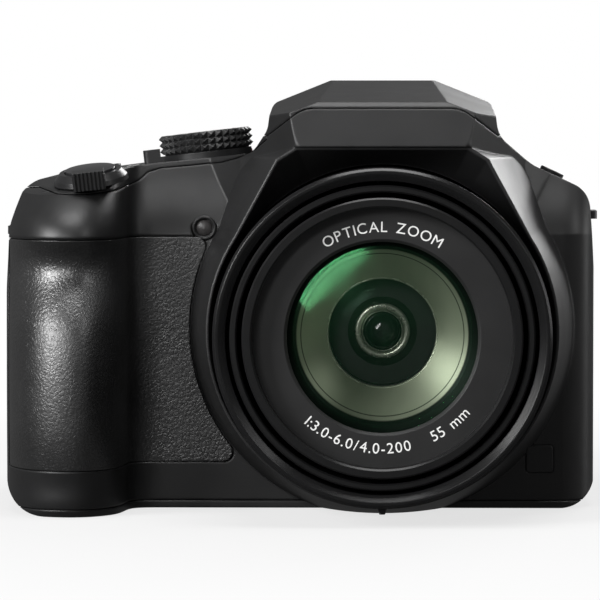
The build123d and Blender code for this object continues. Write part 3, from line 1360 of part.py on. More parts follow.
def barrel_parts():
    fixed_bore, cam, cam_bore, outer, outer_bore, inner, inner_bore = ring_chain()
    front = -LENS_REACH
    ring_front = front + RING_SETBACK
    lip = RING_RADIUS - RING_LIP_WIDTH
    chamfer = RING_BACK_CHAMFER
    ring_end = ring_front + RING_LENGTH
    ring = turned(
        (ring_front + RING_CHAMFER_DEPTH, lip), (ring_front, lip + RING_FRONT_CHAMFER),
        (ring_front, RING_RADIUS - chamfer), (ring_front + chamfer, RING_RADIUS),
        (ring_end, RING_RADIUS), (ring_end, lip),
    )
    fixed = tube(ring_end, FIXED_REAR, fixed_bore, fixed_radius())
    fixed = fixed + tube(FIXED_REAR - FLANGE_LENGTH, FIXED_REAR, fixed_bore, fixed_radius() + FLANGE_WIDTH)
    ear_start = fixed_bore + FIXED_WALL / 2
    for angle in (POST_ANGLE, -POST_ANGLE, math.degrees(math.pi) - POST_ANGLE, POST_ANGLE - math.degrees(math.pi)):
        plane = lens_axis_plane(FIXED_REAR, angle)
        ear = Pos((ear_start + POST_CIRCLE) / 2, 0, FLANGE_LENGTH / 2)
        fixed = fixed + plane * ear * Box(POST_CIRCLE - ear_start, 2 * POST_RADIUS, FLANGE_LENGTH)
        post = plane * Pos(POST_CIRCLE, 0, FIXED_REAR - CHASSIS_Y)
        fixed = fixed + post * extrude(Circle(POST_RADIUS), amount=CHASSIS_Y - FIXED_REAR + FLANGE_LENGTH)
    rim_front = FIXED_REAR + CAM_GAP
    rim_face = Pos(0, AXIS_HEIGHT) * (gear_face(RIM_TEETH, 0) - Circle(cam_bore))
    cam_ring = tube(CAM_FRONT, rim_front + GEAR_WIDTH / 2, cam_bore, cam)
    cam_ring = cam_ring + front_slab(rim_face, rim_front, rim_front + GEAR_WIDTH)
    edge = BARREL_EDGE
    outer_front = front + OUTER_SETBACK
    outer_barrel = turned(
        (outer_front + edge, outer_bore), (outer_front, outer_bore + edge), (outer_front, outer - edge),
        (outer_front + edge, outer), (OUTER_REAR, outer), (OUTER_REAR, outer_bore),
    )
    filter_end = front + FILTER_DEPTH
    guide = outer_bore - MOVING_GAP
    guide_front = INNER_REAR - GUIDE_LENGTH
    inner_barrel = turned(
        (front + FILTER_CHAMFER, FILTER_RADIUS), (front, FILTER_RADIUS + FILTER_CHAMFER), (front, inner - edge),
        (front + edge, inner), (guide_front, inner), (guide_front, guide), (INNER_REAR, guide), (INNER_REAR, inner_bore),
        (filter_end, inner_bore), (filter_end, FILTER_RADIUS),
    )
    return {
        "barrel_ring": ring, "fixed_barrel": fixed, "cam_ring": cam_ring,
        "zoom_barrel_outer": outer_barrel, "zoom_barrel_inner": inner_barrel,
    }


def pinion_place():
    return -(rim_pitch_radius() + GEAR_MODULE * PINION_TEETH / 2), AXIS_HEIGHT


def drive_parts():
    x, z = pinion_place()
    rim_front = FIXED_REAR + CAM_GAP
    chassis_rear = CHASSIS_Y + CHASSIS_THICKNESS
    pinion = front_slab(Pos(x, z) * gear_face(PINION_TEETH, math.pi / PINION_TEETH), rim_front, rim_front + GEAR_WIDTH)
    shaft_length = chassis_rear + MOTOR_SHAFT_DEPTH - rim_front
    pinion = pinion + rod((x, rim_front, z), (0, 1, 0), PINION_SHAFT_RADIUS, shaft_length)
    motor = rod((x, chassis_rear, z), (0, 1, 0), MOTOR_RADIUS, MOTOR_LENGTH)
    bore = PINION_SHAFT_RADIUS + PINION_SHAFT_BORE_GAP
    motor = motor - rod((x, chassis_rear, z), (0, 1, 0), bore, MOTOR_SHAFT_DEPTH + SEAM_GAP)
    return {"zoom_pinion": pinion, "zoom_motor": motor}


def optic_parts():
    inner_bore = ring_chain()[-1]
    name_front = -LENS_REACH + FILTER_DEPTH
    name_rear = name_front + NAME_RING_THICKNESS
    name_ring = turned(
        (name_front + NAME_RING_BEVEL, NAME_RING_OPENING), (name_front, NAME_RING_OPENING + NAME_RING_BEVEL),
        (name_front, inner_bore), (name_rear, inner_bore), (name_rear, NAME_RING_OPENING),
    )
    glass_front = name_rear + FRONT_LENS_RECESS - FRONT_LENS_BULGE
    glass_rear = glass_front + FRONT_LENS_BULGE + FRONT_LENS_EDGE
    front_glass = lens(glass_front, FRONT_LENS_BULGE, FRONT_LENS_EDGE, FRONT_LENS_HOLLOW, FRONT_LENS_RADIUS)
    seat = FRONT_LENS_RADIUS + FIT_GAP
    cone_start = seat - BAFFLE_SHOULDER
    cone_end = glass_rear + BAFFLE_DEPTH
    shoulder_end = glass_rear + BAFFLE_WALL
    baffle = turned(
        (name_rear, inner_bore), (name_rear, seat), (glass_rear + FIT_GAP, seat), (glass_rear + FIT_GAP, cone_start),
        (cone_end, BAFFLE_OPENING), (cone_end, BAFFLE_OPENING + BAFFLE_WALL), (shoulder_end, cone_start + BAFFLE_WALL),
        (shoulder_end, seat + BAFFLE_WALL), (name_rear + BAFFLE_FLANGE, seat + BAFFLE_WALL),
        (name_rear + BAFFLE_FLANGE, inner_bore),
    )
    cell_front = cone_end + MIDDLE_GROUP_BEHIND
    cell_rear = cell_front + CELL_LENGTH
    cell_bore = MIDDLE_LENS_RADIUS + FIT_GAP
    cell_out = cell_bore + CELL_WALL
    lens_rear = cell_front + MIDDLE_LENS_BULGE + MIDDLE_LENS_EDGE
    iris_front = lens_rear + MIDDLE_LENS_BULGE
    cell = turned(
        (cell_front, cell_bore), (cell_front, cell_out), (cell_rear - CELL_FLANGE, cell_out),
        (cell_rear - CELL_FLANGE, inner_bore - BARREL_GAP), (cell_rear, inner_bore - BARREL_GAP),
        (cell_rear, IRIS_STEP_RADIUS), (iris_front + IRIS_THICKNESS, IRIS_STEP_RADIUS),
        (iris_front + IRIS_THICKNESS, IRIS_RADIUS), (iris_front, IRIS_RADIUS),
        (iris_front, IRIS_STEP_RADIUS), (lens_rear, IRIS_STEP_RADIUS + CELL_WALL), (lens_rear, cell_bore),
    )
    middle = lens(cell_front, MIDDLE_LENS_BULGE, MIDDLE_LENS_EDGE, MIDDLE_LENS_BULGE / 2, MIDDLE_LENS_RADIUS)
    focus_front = CHASSIS_Y - SNOUT_LENGTH + FOCUS_LENS_BULGE
    focus = lens(focus_front, FOCUS_LENS_BULGE, FOCUS_LENS_THICKNESS, -FOCUS_LENS_BULGE, FOCUS_LENS_RADIUS)
    return {
        "name_ring": name_ring, "front_element": front_glass, "lens_baffle": baffle,
        "middle_lens_cell": cell, "middle_lens": middle, "focus_lens": focus,
    }


def chassis_parts():
    width = CHASSIS_RIGHT - CHASSIS_LEFT
    height = CHASSIS_TOP - BASE_THICKNESS
    centre = Pos((CHASSIS_LEFT + CHASSIS_RIGHT) / 2, BASE_THICKNESS + height / 2)
    plate = centre * RectangleRounded(width, height, CHASSIS_CORNER)
    window = SENSOR_PACKAGE + 2 * SEAM_GAP
    plate = plate - Pos(0, AXIS_HEIGHT) * Rectangle(window, window)
    rear = CHASSIS_Y + CHASSIS_THICKNESS
    chassis = front_slab(plate, CHASSIS_Y, rear)
    snout_bore = FOCUS_LENS_RADIUS + FIT_GAP
    chassis = chassis + tube(CHASSIS_Y - SNOUT_LENGTH, CHASSIS_Y, snout_bore, snout_bore + SNOUT_WALL)
    x, z = pinion_place()
    chassis = chassis - rod((x, CHASSIS_Y - WALL, z), (0, 1, 0), PINION_SHAFT_RADIUS + 2 * MOVING_GAP, 2 * WALL)
    board_front = rear + MAIN_BOARD_GAP
    left = CHASSIS_LEFT + CHASSIS_CORNER
    right = CHASSIS_RIGHT - CHASSIS_CORNER
    low = MAIN_BOARD_BOTTOM + STANDOFF_RADIUS + MAIN_BOARD_EDGE
    high = MAIN_BOARD_TOP - STANDOFF_RADIUS - MAIN_BOARD_EDGE
    for post_x in (left, right):
        for post_z in (low, high):
            chassis = chassis + rod((post_x, rear, post_z), (0, 1, 0), STANDOFF_RADIUS, MAIN_BOARD_GAP)
    sensor = rear_sheet(
        SENSOR_BOARD_WIDTH, SENSOR_BOARD_HEIGHT, MAIN_BOARD_EDGE, 0, AXIS_HEIGHT, rear, rear + BOARD_THICKNESS,
    )
    half = SENSOR_PACKAGE / 2
    sensor = sensor + block(-half, half, rear - SENSOR_THICKNESS, rear, AXIS_HEIGHT - half, AXIS_HEIGHT + half)
    board = front_slab(
        outline([
            (CHASSIS_LEFT + MAIN_BOARD_EDGE, MAIN_BOARD_BOTTOM), (PORT_BOARD_X, MAIN_BOARD_BOTTOM),
            (PORT_BOARD_X, MAIN_BOARD_TOP), (CHASSIS_LEFT + MAIN_BOARD_EDGE, MAIN_BOARD_TOP),
        ]),
        board_front, board_front + BOARD_THICKNESS,
    )
    board_rear = board_front + BOARD_THICKNESS
    for across, up, wide, tall in chip_shares:
        x0 = CHASSIS_LEFT + across * width
        z0 = BASE_THICKNESS + up * height
        board = board + block(x0, x0 + wide * width, board_rear, board_rear + CHIP_HEIGHT, z0, z0 + tall * height)
    return {"chassis": chassis, "sensor_board": sensor, "main_board": board}


def socket_parts():
    """Small board behind the terminal door, with two socket shells."""
    y0 = PORT_DOOR_FRONT + WALL
    board_front = CHASSIS_Y + CHASSIS_THICKNESS + MAIN_BOARD_GAP
    z0 = PORT_DOOR_BOTTOM + WALL
    z1 = PORT_DOOR_BOTTOM + PORT_DOOR_HEIGHT - WALL
    face = PORT_BOARD_X + PORT_BOARD_THICKNESS
    board = block(PORT_BOARD_X, face, y0, board_front + BOARD_THICKNESS, z0, z1)
    middle_y = PORT_DOOR_FRONT + PORT_DOOR_LENGTH / 2
    for share in port_height_shares:
        z = PORT_DOOR_BOTTOM + share * PORT_DOOR_HEIGHT
        half_y = PORT_WIDTH / 2
        half_z = PORT_HEIGHT / 2
        shell = block(face, face + PORT_REACH, middle_y - half_y, middle_y + half_y, z - half_z, z + half_z)
        inside = block(
            face + PORT_WALL, face + 2 * PORT_REACH, middle_y - half_y + PORT_WALL, middle_y + half_y - PORT_WALL,
            z - half_z + PORT_WALL, z + half_z - PORT_WALL,
        )
        board = board + (shell - inside)
    return {"terminal_sockets": board}


def battery_parts():
    battery = battery_box()
    card = card_box()
    solid = block(*battery)
    case = block(*grown(battery, CASE_GAP + CASE_WALL)) + block(*grown(card, CASE_GAP + CASE_WALL))
    floor = BASE_THICKNESS
    case = case & block(-2 * BODY_WIDTH, BODY_WIDTH, -BODY_WIDTH, BODY_WIDTH, floor, BODY_HEIGHT)
    for room in (grown(battery, CASE_GAP), grown(card, CASE_GAP)):
        case = case - block(room[0], room[1], room[2], room[3], -OVERRUN, room[5])
    return {
        "battery": fillet(solid.edges().filter_by(Axis.Z), BATTERY_EDGE),
        "memory_card": block(*card),
        "battery_case": case,
    }


def fastener_parts():
    outer = TRIPOD_RADIUS + TRIPOD_WALL
    socket = disc(Plane.XY, outer, 0, TRIPOD_DEPTH)
    socket = socket + disc(Plane.XY, outer + TRIPOD_FLANGE, BASE_THICKNESS, BASE_THICKNESS + TRIPOD_WALL / 2)
    socket = socket - disc(Plane.XY, TRIPOD_RADIUS, -OVERRUN, OVERRUN)
    screws = []
    for x, y, _ in screw_places():
        plane = Plane(origin=(x, y, SEAM_GAP))
        head = disc(plane, SCREW_HEAD_RADIUS, 0, SCREW_HEAD_HEIGHT)
        shank = disc(plane, SCREW_RADIUS, SCREW_HEAD_HEIGHT, SCREW_LENGTH - SEAM_GAP)
        slot = SCREW_HEAD_RADIUS / 4
        reach = SCREW_HEAD_RADIUS * 0.7
        cross = plane * (Box(2 * reach, slot, slot * 2) + Box(slot, 2 * reach, slot * 2))
        screws.append(head + shank - cross)
    return {"tripod_socket": socket, "case_screws": Compound(children=screws)}


def main():
    body = envelope()
    parts = {}
    for group in (
        cover_parts(body), flash_parts(body), dial_parts(), shutter_parts(), rear_parts(), front_details(),
        shoe_parts(), barrel_parts(), drive_parts(), optic_parts(), chassis_parts(), socket_parts(),
        battery_parts(), fastener_parts(),
    ):
        parts.update(group)
    os.makedirs("parts", exist_ok=True)
    for name, shape in parts.items():
        export_step(shape, "parts/" + name + ".step")


if __name__ == "__main__":
    main()
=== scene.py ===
import math

import bmesh
import bpy
from mathutils import Matrix, Vector
from mathutils.bvhtree import BVHTree


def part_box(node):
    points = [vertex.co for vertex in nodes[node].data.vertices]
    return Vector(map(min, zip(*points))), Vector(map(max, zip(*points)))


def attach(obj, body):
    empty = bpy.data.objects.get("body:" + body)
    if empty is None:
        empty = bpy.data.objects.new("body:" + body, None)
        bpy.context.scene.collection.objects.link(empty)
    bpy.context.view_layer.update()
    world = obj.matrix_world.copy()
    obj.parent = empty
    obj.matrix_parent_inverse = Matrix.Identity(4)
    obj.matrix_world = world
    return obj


# Bridge camera in metres: X runs right in the front view, Y to the rear and Z up.
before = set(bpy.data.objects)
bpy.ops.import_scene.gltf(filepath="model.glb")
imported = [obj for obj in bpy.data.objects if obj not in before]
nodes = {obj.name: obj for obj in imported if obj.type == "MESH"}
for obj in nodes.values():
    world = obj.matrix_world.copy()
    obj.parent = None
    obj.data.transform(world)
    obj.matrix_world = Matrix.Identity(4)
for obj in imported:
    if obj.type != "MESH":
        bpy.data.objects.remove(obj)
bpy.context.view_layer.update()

MM = 0.001
FULL_TURN = math.tau

RIGHT = Vector((1, 0, 0))
FRONT = Vector((0, -1, 0))
REARWARD = Vector((0, 1, 0))
UP = Vector((0, 0, 1))
DOWN = -UP
LENS_AXIS = Vector((0, 0, 40 * MM))

# The mode dial leans outwards with the top cover
DIAL_PLACE = Vector((-39.2, -5.0, 76.6)) * MM
DIAL_OUT = Vector((-0.11667, 0, 0.99317))
DIAL_RIGHT = Vector((0.99317, 0, 0.11667))

# Where the straight lines that look for a skin start, well clear of the camera
ABOVE, BELOW = 120 * MM, -50 * MM
AHEAD, BEHIND = -80 * MM, 60 * MM
BESIDE = 120 * MM

# Printing stands this far off the skin, and is this thick
PRINT_LIFT = 0.02 * MM
PRINT_THICK, RING_PRINT_THICK = 0.03 * MM, 0.05 * MM

# Shares of a letter's size: the height of its middle, and the width of a space
LETTER_MIDDLE = 0.35
SPACE = 0.32


# Materials

# An edge wears lighter than the face beside it, where the softened surface turns away from the flat one
WORN_SHARE = 1.9
EDGE_TURNED, EDGE_FLAT = 0.80, 0.995

# Width of the blotches in gloss and tone
SMUDGE = 9 * MM
RUBBER_SMUDGE = 14 * MM

# A wave texture scales its own place up by this
WAVE_SCALE = 20


def blank(name):
    """A new material, its node tree, its principled shader and the object's own coordinates."""
    material = bpy.data.materials.new(name)
    material.use_nodes = True
    tree = material.node_tree
    place = tree.nodes.new("ShaderNodeTexCoord").outputs["Object"]
    return material, tree, tree.nodes["Principled BSDF"], place


def put(tree, kind, **values):
    """A new node with its sockets or settings filled in."""
    node = tree.nodes.new(kind)
    for key, value in values.items():
        if key in node.inputs:
            node.inputs[key].default_value = value
        else:
            setattr(node, key, value)
    return node


def put_linked(tree, kind, place, **values):
    """A new node that is fed this place or vector."""
    node = put(tree, kind, **values)
    tree.links.new(place, node.inputs["Vector"])
    return node


def noise(tree, place, size, detail):
    """Noise whose blotches are about this many metres wide."""
    return put_linked(tree, "ShaderNodeTexNoise", place, Scale=1 / size, Detail=detail)


def reckon(tree, operation, first, second=None):
    """A sum on one or two values, of which the second may be a plain number."""
    node = put(tree, "ShaderNodeMath", operation=operation)
    tree.links.new(first, node.inputs[0])
    if isinstance(second, float):
        node.inputs[1].default_value = second
    elif second:
        tree.links.new(second, node.inputs[1])
    return node.outputs["Value"]


def remap(tree, source, low, high, start=0.35, end=0.65):
    """A value spread between two levels, from the start to the end of its own range."""
    node = put(tree, "ShaderNodeMapRange")
    tree.links.new(source, node.inputs["Value"])
    for key, value in (("From Min", start), ("From Max", end), ("To Min", low), ("To Max", high)):
        node.inputs[key].default_value = value
    return node.outputs["Result"]


def tint(tree, factor, dark, light):
    """A colour between two, by a factor."""
    node = put(tree, "ShaderNodeMix", data_type="RGBA")
    tree.links.new(factor, node.inputs["Factor"])
    node.inputs["A"].default_value = (*dark, 1)
    node.inputs["B"].default_value = (*light, 1)
    return node.outputs["Result"]


def shade(colour, level):
    """A colour made darker or lighter."""
    return tuple(min(1.0, channel * level) for channel in colour)


def bump(tree, height, depth, strength=1.0, normal=None):
    """A surface direction roughened by a height."""
    node = put(tree, "ShaderNodeBump", Strength=strength, Distance=depth)
    tree.links.new(height, node.inputs["Height"])
    if normal:
        tree.links.new(normal, node.inputs["Normal"])
    return node.outputs["Normal"]


def moulded(name, colour, rough, grain, depth, edge, specular, metallic=0.0):
    """Fine-grained moulding with softened edges worn slightly lighter, and uneven gloss."""
    material, tree, shader, place = blank(name)
    soft = put(tree, "ShaderNodeBevel", Radius=edge, samples=6)
    flat = put(tree, "ShaderNodeNewGeometry")
    turn = put(tree, "ShaderNodeVectorMath", operation="DOT_PRODUCT")
    tree.links.new(soft.outputs["Normal"], turn.inputs[0])
    tree.links.new(flat.outputs["Normal"], turn.inputs[1])
    smudge = noise(tree, place, SMUDGE, 4)
    edges = remap(tree, turn.outputs["Value"], 1, 0, EDGE_TURNED, EDGE_FLAT)
    worn = reckon(tree, "MULTIPLY", edges, remap(tree, smudge.outputs["Fac"], 0.25, 1))
    mottle = remap(tree, smudge.outputs["Fac"], 0, 1)
    body = put(tree, "ShaderNodeMix", data_type="RGBA")
    tree.links.new(worn, body.inputs["Factor"])
    tree.links.new(tint(tree, mottle, shade(colour, 0.93), shade(colour, 1.07)), body.inputs["A"])
    body.inputs["B"].default_value = (*shade(colour, WORN_SHARE), 1)
    tree.links.new(body.outputs["Result"], shader.inputs["Base Color"])
    gloss = remap(tree, smudge.outputs["Fac"], rough - 0.02, rough + 0.02)
    tree.links.new(gloss, shader.inputs["Roughness"])
    fine = noise(tree, place, grain, 2)
    skin = bump(tree, fine.outputs["Fac"], depth, 0.6, soft.outputs["Normal"])
    tree.links.new(skin, shader.inputs["Normal"])
    shader.inputs["Metallic"].default_value = metallic
    shader.inputs["Specular IOR Level"].default_value = specular
    return material


def leather(name, colour, rough, pebble, depth, specular):
    """Moulded leather grain: uneven pebbles with creases between them, the creases painted darker as
    painted shade.
    """
    material, tree, shader, place = blank(name)
    wander = noise(tree, place, pebble * 1.6, 2)
    shift = put(tree, "ShaderNodeMix", data_type="RGBA", blend_type="LINEAR_LIGHT")
    shift.inputs["Factor"].default_value = pebble * 0.9
    tree.links.new(place, shift.inputs["A"])
    tree.links.new(wander.outputs["Color"], shift.inputs["B"])
    pebbles = put_linked(tree, "ShaderNodeTexVoronoi", shift.outputs["Result"], Scale=1 / pebble)
    pebbles.feature = "SMOOTH_F1"
    pebbles.inputs["Smoothness"].default_value = 0.35
    crease = put_linked(tree, "ShaderNodeTexVoronoi", shift.outputs["Result"], Scale=1 / pebble)
    crease.feature = "DISTANCE_TO_EDGE"
    groove = remap(tree, crease.outputs["Distance"], 0, 1, 0.0, 0.16)
    dome = remap(tree, pebbles.outputs["Distance"], 1, 0.2, 0.0, 0.8)
    smudge = noise(tree, place, RUBBER_SMUDGE, 3)
    # The creases are painted darker as painted shade; the blotches vary the tone at random
    tone = reckon(tree, "MULTIPLY", groove, remap(tree, smudge.outputs["Fac"], 0.7, 1))
    tree.links.new(tint(tree, tone, shade(colour, 0.45), colour), shader.inputs["Base Color"])
    gloss = remap(tree, smudge.outputs["Fac"], rough - 0.05, rough + 0.06)
    tree.links.new(gloss, shader.inputs["Roughness"])
    soft = put(tree, "ShaderNodeBevel", Radius=0.4 * MM, samples=4)
    skin = bump(tree, reckon(tree, "MULTIPLY", groove, dome), depth, 0.8, soft.outputs["Normal"])
    tree.links.new(skin, shader.inputs["Normal"])
    shader.inputs["Specular IOR Level"].default_value = specular
    return material


def glass(name, reflection, rough, clearness, ior):
    """Thin coated glass, mostly clear, with a tinted reflection and an uneven film."""
    material, tree, shader, place = blank(name)
    film = noise(tree, place, 11 * MM, 1)
    tree.links.new(remap(tree, film.outputs["Fac"], rough * 0.6, rough * 1.6), shader.inputs["Roughness"])
    shader.inputs["Base Color"].default_value = (0.002, 0.006, 0.004, 1)
    shader.inputs["Specular Tint"].default_value = (*reflection, 1)
    shader.inputs["IOR"].default_value = ior
    shader.inputs["Alpha"].default_value = 1 - clearness
    return material


def brushed(name, colour, rough, along):
    """Metal with fine straight brush lines along one axis."""
    material, tree, shader, place = blank(name)
    stretch = put_linked(tree, "ShaderNodeMapping", place)
    stretch.inputs["Scale"].default_value = [0.04 if axis == along else 1.0 for axis in "XYZ"]
    lines = noise(tree, stretch.outputs["Vector"], 0.12 * MM, 3)
    gloss = remap(tree, lines.outputs["Fac"], rough - 0.08, rough + 0.1)
    tree.links.new(gloss, shader.inputs["Roughness"])
    tone = tint(tree, lines.outputs["Fac"], shade(colour, 0.8), shade(colour, 1.1))
    tree.links.new(tone, shader.inputs["Base Color"])
    soft = put(tree, "ShaderNodeBevel", Radius=0.15 * MM, samples=4)
    skin = bump(tree, lines.outputs["Fac"], 0.01 * MM, 0.5, soft.outputs["Normal"])
    tree.links.new(skin, shader.inputs["Normal"])
    shader.inputs["Metallic"].default_value = 1.0
    return material


def grooved(name, colour, rough, pitch, depth, specular=0.5):
    """Satin black with fine turned rings square to the lens axis."""
    material, tree, shader, place = blank(name)
    rings = put_linked(tree, "ShaderNodeTexWave", place, Scale=1 / (WAVE_SCALE * pitch))
    rings.bands_direction = "Y"
    smudge = noise(tree, place, 6 * MM, 3)
    tone = tint(tree, smudge.outputs["Fac"], shade(colour, 0.93), shade(colour, 1.07))
    tree.links.new(tone, shader.inputs["Base Color"])
    gloss = remap(tree, smudge.outputs["Fac"], rough - 0.015, rough + 0.015)
    tree.links.new(gloss, shader.inputs["Roughness"])
    tree.links.new(bump(tree, rings.outputs["Fac"], depth, 0.7), shader.inputs["Normal"])
    shader.inputs["Specular IOR Level"].default_value = specular
    return material


def turned_dish(name, colour, dark, rim, groove):
    """Fine-turned lens baffle: satin coating inside a radius, black outside it, and one thin groove."""
    material, tree, shader, place = blank(name)
    centre = put_linked(tree, "ShaderNodeVectorMath", place, operation="SUBTRACT")
    centre.inputs[1].default_value = LENS_AXIS
    flat = put_linked(tree, "ShaderNodeVectorMath", centre.outputs["Vector"], operation="MULTIPLY")
    flat.inputs[1].default_value = (1, 0, 1)
    length = put_linked(tree, "ShaderNodeVectorMath", flat.outputs["Vector"], operation="LENGTH")
    radius = length.outputs["Value"]
    inside = remap(tree, radius, 1, 0, rim - 0.15 * MM, rim + 0.15 * MM)
    apart = reckon(tree, "ABSOLUTE", reckon(tree, "SUBTRACT", radius, groove))
    line = remap(tree, apart, 0.1, 1, 0.05 * MM, 0.14 * MM)
    smudge = noise(tree, place, 12 * MM, 2)
    mottle = remap(tree, smudge.outputs["Fac"], 0.93, 1)
    level = reckon(tree, "MULTIPLY", reckon(tree, "MULTIPLY", inside, line), mottle)
    tree.links.new(tint(tree, level, dark, colour), shader.inputs["Base Color"])
    tree.links.new(remap(tree, smudge.outputs["Fac"], 0.47, 0.5), shader.inputs["Roughness"])
    fine = noise(tree, place, 0.12 * MM, 2)
    tree.links.new(bump(tree, fine.outputs["Fac"], 0.003 * MM, 0.5), shader.inputs["Normal"])
    lay = put(tree, "ShaderNodeTangent", direction_type="RADIAL", axis="Y")
    tree.links.new(lay.outputs["Tangent"], shader.inputs["Tangent"])
    shader.inputs["Anisotropic"].default_value = 0.85
    shader.inputs["Anisotropic Rotation"].default_value = 0.25
    shader.inputs["Metallic"].default_value = 0.8
    return material


def board_green(name):
    """Solder-masked board with faint tracks."""
    material, tree, shader, place = blank(name)
    tracks = put_linked(tree, "ShaderNodeTexBrick", place, Scale=260)
    tracks.inputs["Mortar Size"].default_value = 0.06
    tone = tint(tree, tracks.outputs["Fac"], (0.01, 0.09, 0.04), (0.03, 0.2, 0.09))
    tree.links.new(tone, shader.inputs["Base Color"])
    tree.links.new(bump(tree, tracks.outputs["Fac"], 0.05 * MM), shader.inputs["Normal"])
    shader.inputs["Roughness"].default_value = 0.35
    return material


def screen_glass(name, half_width, half_height, middle):
    """Dark cover glass with a slightly paler picture area behind it."""
    material, tree, shader, place = blank(name)
    shift = put_linked(tree, "ShaderNodeVectorMath", place, operation="SUBTRACT")
    shift.inputs[1].default_value = middle
    size = put_linked(tree, "ShaderNodeVectorMath", shift.outputs["Vector"], operation="ABSOLUTE")
    parts = put(tree, "ShaderNodeSeparateXYZ")
    tree.links.new(size.outputs["Vector"], parts.inputs["Vector"])
    across = remap(tree, parts.outputs["X"], 1, 0, half_width - 0.1 * MM, half_width + 0.1 * MM)
    up = remap(tree, parts.outputs["Z"], 1, 0, half_height - 0.1 * MM, half_height + 0.1 * MM)
    inside = reckon(tree, "MULTIPLY", across, up)
    tone = tint(tree, inside, (0.004, 0.004, 0.004), (0.014, 0.015, 0.018))
    tree.links.new(tone, shader.inputs["Base Color"])
    smear = noise(tree, place, 22 * MM, 4)
    tree.links.new(remap(tree, smear.outputs["Fac"], 0.05, 0.13), shader.inputs["Roughness"])
    shader.inputs["Specular IOR Level"].default_value = 0.25
    return material


def paint(name, colour):
    """Printing ink with faint wear."""
    material, tree, shader, place = blank(name)
    wear = noise(tree, place, 0.6 * MM, 3)
    tone = tint(tree, wear.outputs["Fac"], shade(colour, 0.85), colour)
    tree.links.new(tone, shader.inputs["Base Color"])
    shader.inputs["Roughness"].default_value = 0.55
    return material


# Finishes of this camera. A moulded one has its colour, roughness, width and depth of grain, softened
# edge, specular level and how metallic it is.

SHELL = moulded("matte_shell", (0.0055, 0.0055, 0.0057), 0.44, 0.16 * MM, 0.010 * MM, 0.7 * MM, 0.37)
BUTTON = moulded("button_black", (0.010, 0.010, 0.0103), 0.36, 0.12 * MM, 0.006 * MM, 0.2 * MM, 0.3)
CONTROL = moulded("control_black", (0.009, 0.009, 0.0093), 0.32, 0.1 * MM, 0.006 * MM, 0.12 * MM, 0.35)
SATIN_METAL = moulded(
    "shutter_metal", (0.10, 0.10, 0.105), 0.30, 0.1 * MM, 0.003 * MM, 0.15 * MM, 0.5, 0.9,
)
RING = moulded("satin_ring", (0.005, 0.005, 0.0052), 0.24, 0.14 * MM, 0.004 * MM, 0.3 * MM, 0.2)
BARREL = grooved("barrel_satin", (0.005, 0.005, 0.0052), 0.30, 0.5 * MM, 0.008 * MM, 0.2)
NAME_RING = moulded("name_ring_matte", (0.009, 0.009, 0.0092), 0.44, 0.1 * MM, 0.008 * MM, 0.15 * MM, 0.3)
GRIP = leather("leather_rubber", (0.007, 0.007, 0.0072), 0.42, 0.85 * MM, 0.06 * MM, 0.85)
THUMB = leather("thumb_rubber", (0.008, 0.008, 0.0082), 0.48, 0.8 * MM, 0.06 * MM, 0.45)
SOFT_RUBBER = moulded("eyecup_rubber", (0.009, 0.009, 0.0092), 0.6, 0.2 * MM, 0.012 * MM, 0.3 * MM, 0.25)
COATED = glass("coated_glass", (0.25, 1.0, 0.42), 0.10, 0.86, 2.3)
INNER_GLASS = glass("inner_glass", (0.35, 0.8, 0.5), 0.04, 0.95, 1.7)
CLEAR = glass("clear_window", (0.9, 0.95, 1.0), 0.04, 0.86, 1.8)
DIFFUSER = glass("flash_diffuser", (0.9, 0.95, 1.0), 0.3, 0.5, 1.6)
DISH = turned_dish("coated_dish", (0.33, 0.38, 0.27), (0.006, 0.012, 0.008), 18.3 * MM, 17.4 * MM)
CELL = grooved("lens_cell", (0.004, 0.006, 0.005), 0.4, 0.6 * MM, 0.01 * MM)
IRIS = moulded("iris_coating", (0.48, 0.53, 0.42), 0.28, 0.1 * MM, 0.002 * MM, 0.1 * MM, 0.5, 0.8)
# Opaque near-black glass: painted shade for the dark inside of the lens, with a real glossy reflection of
# the lamps
PUPIL_SHADE_GLASS = moulded("pupil_shade_glass", (0.004, 0.008, 0.006), 0.06, 0.5 * MM, 0.0005 * MM, 0.05 * MM, 0.8)
STEEL = brushed("brushed_steel", (0.24, 0.24, 0.245), 0.42, "Y")
DARK_STEEL = moulded(
    "dark_fastener", (0.06, 0.06, 0.062), 0.35, 0.08 * MM, 0.004 * MM, 0.1 * MM, 0.5, 0.9,
)
ALLOY = moulded("cast_alloy", (0.36, 0.36, 0.37), 0.5, 0.3 * MM, 0.02 * MM, 0.3 * MM, 0.5, 0.9)
MIRROR = brushed("reflector_foil", (0.85, 0.85, 0.86), 0.16, "X")
GOLD = brushed("gold_contact", (0.85, 0.62, 0.28), 0.25, "Y")
BOARD = board_green("green_board")
WRAP = moulded("dark_wrap", (0.05, 0.05, 0.055), 0.35, 0.2 * MM, 0.006 * MM, 0.3 * MM, 0.5)
CARD = moulded("card_blue", (0.03, 0.05, 0.14), 0.4, 0.2 * MM, 0.006 * MM, 0.2 * MM, 0.5)
GEAR = moulded("gear_nylon", (0.6, 0.59, 0.55), 0.45, 0.2 * MM, 0.008 * MM, 0.1 * MM, 0.5)
LAMP = moulded("lamp_window", (0.03, 0.028, 0.028), 0.4, 0.2 * MM, 0.003 * MM, 0.3 * MM, 0.4)
RED = moulded("video_red", (0.30, 0.012, 0.014), 0.34, 0.12 * MM, 0.004 * MM, 0.2 * MM, 0.5)
WHITE_INK = paint("white_marking", (0.62, 0.62, 0.61))

# The picture area leaves a dark rim at the sides and ends of the screen's window
SIDE_RIM, END_RIM = 3.2 * MM, 4.2 * MM
low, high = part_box("lcd_window")
half = (high - low) / 2
SCREEN = screen_glass("screen_cover", half.x - SIDE_RIM, half.z - END_RIM, (low + high) / 2)

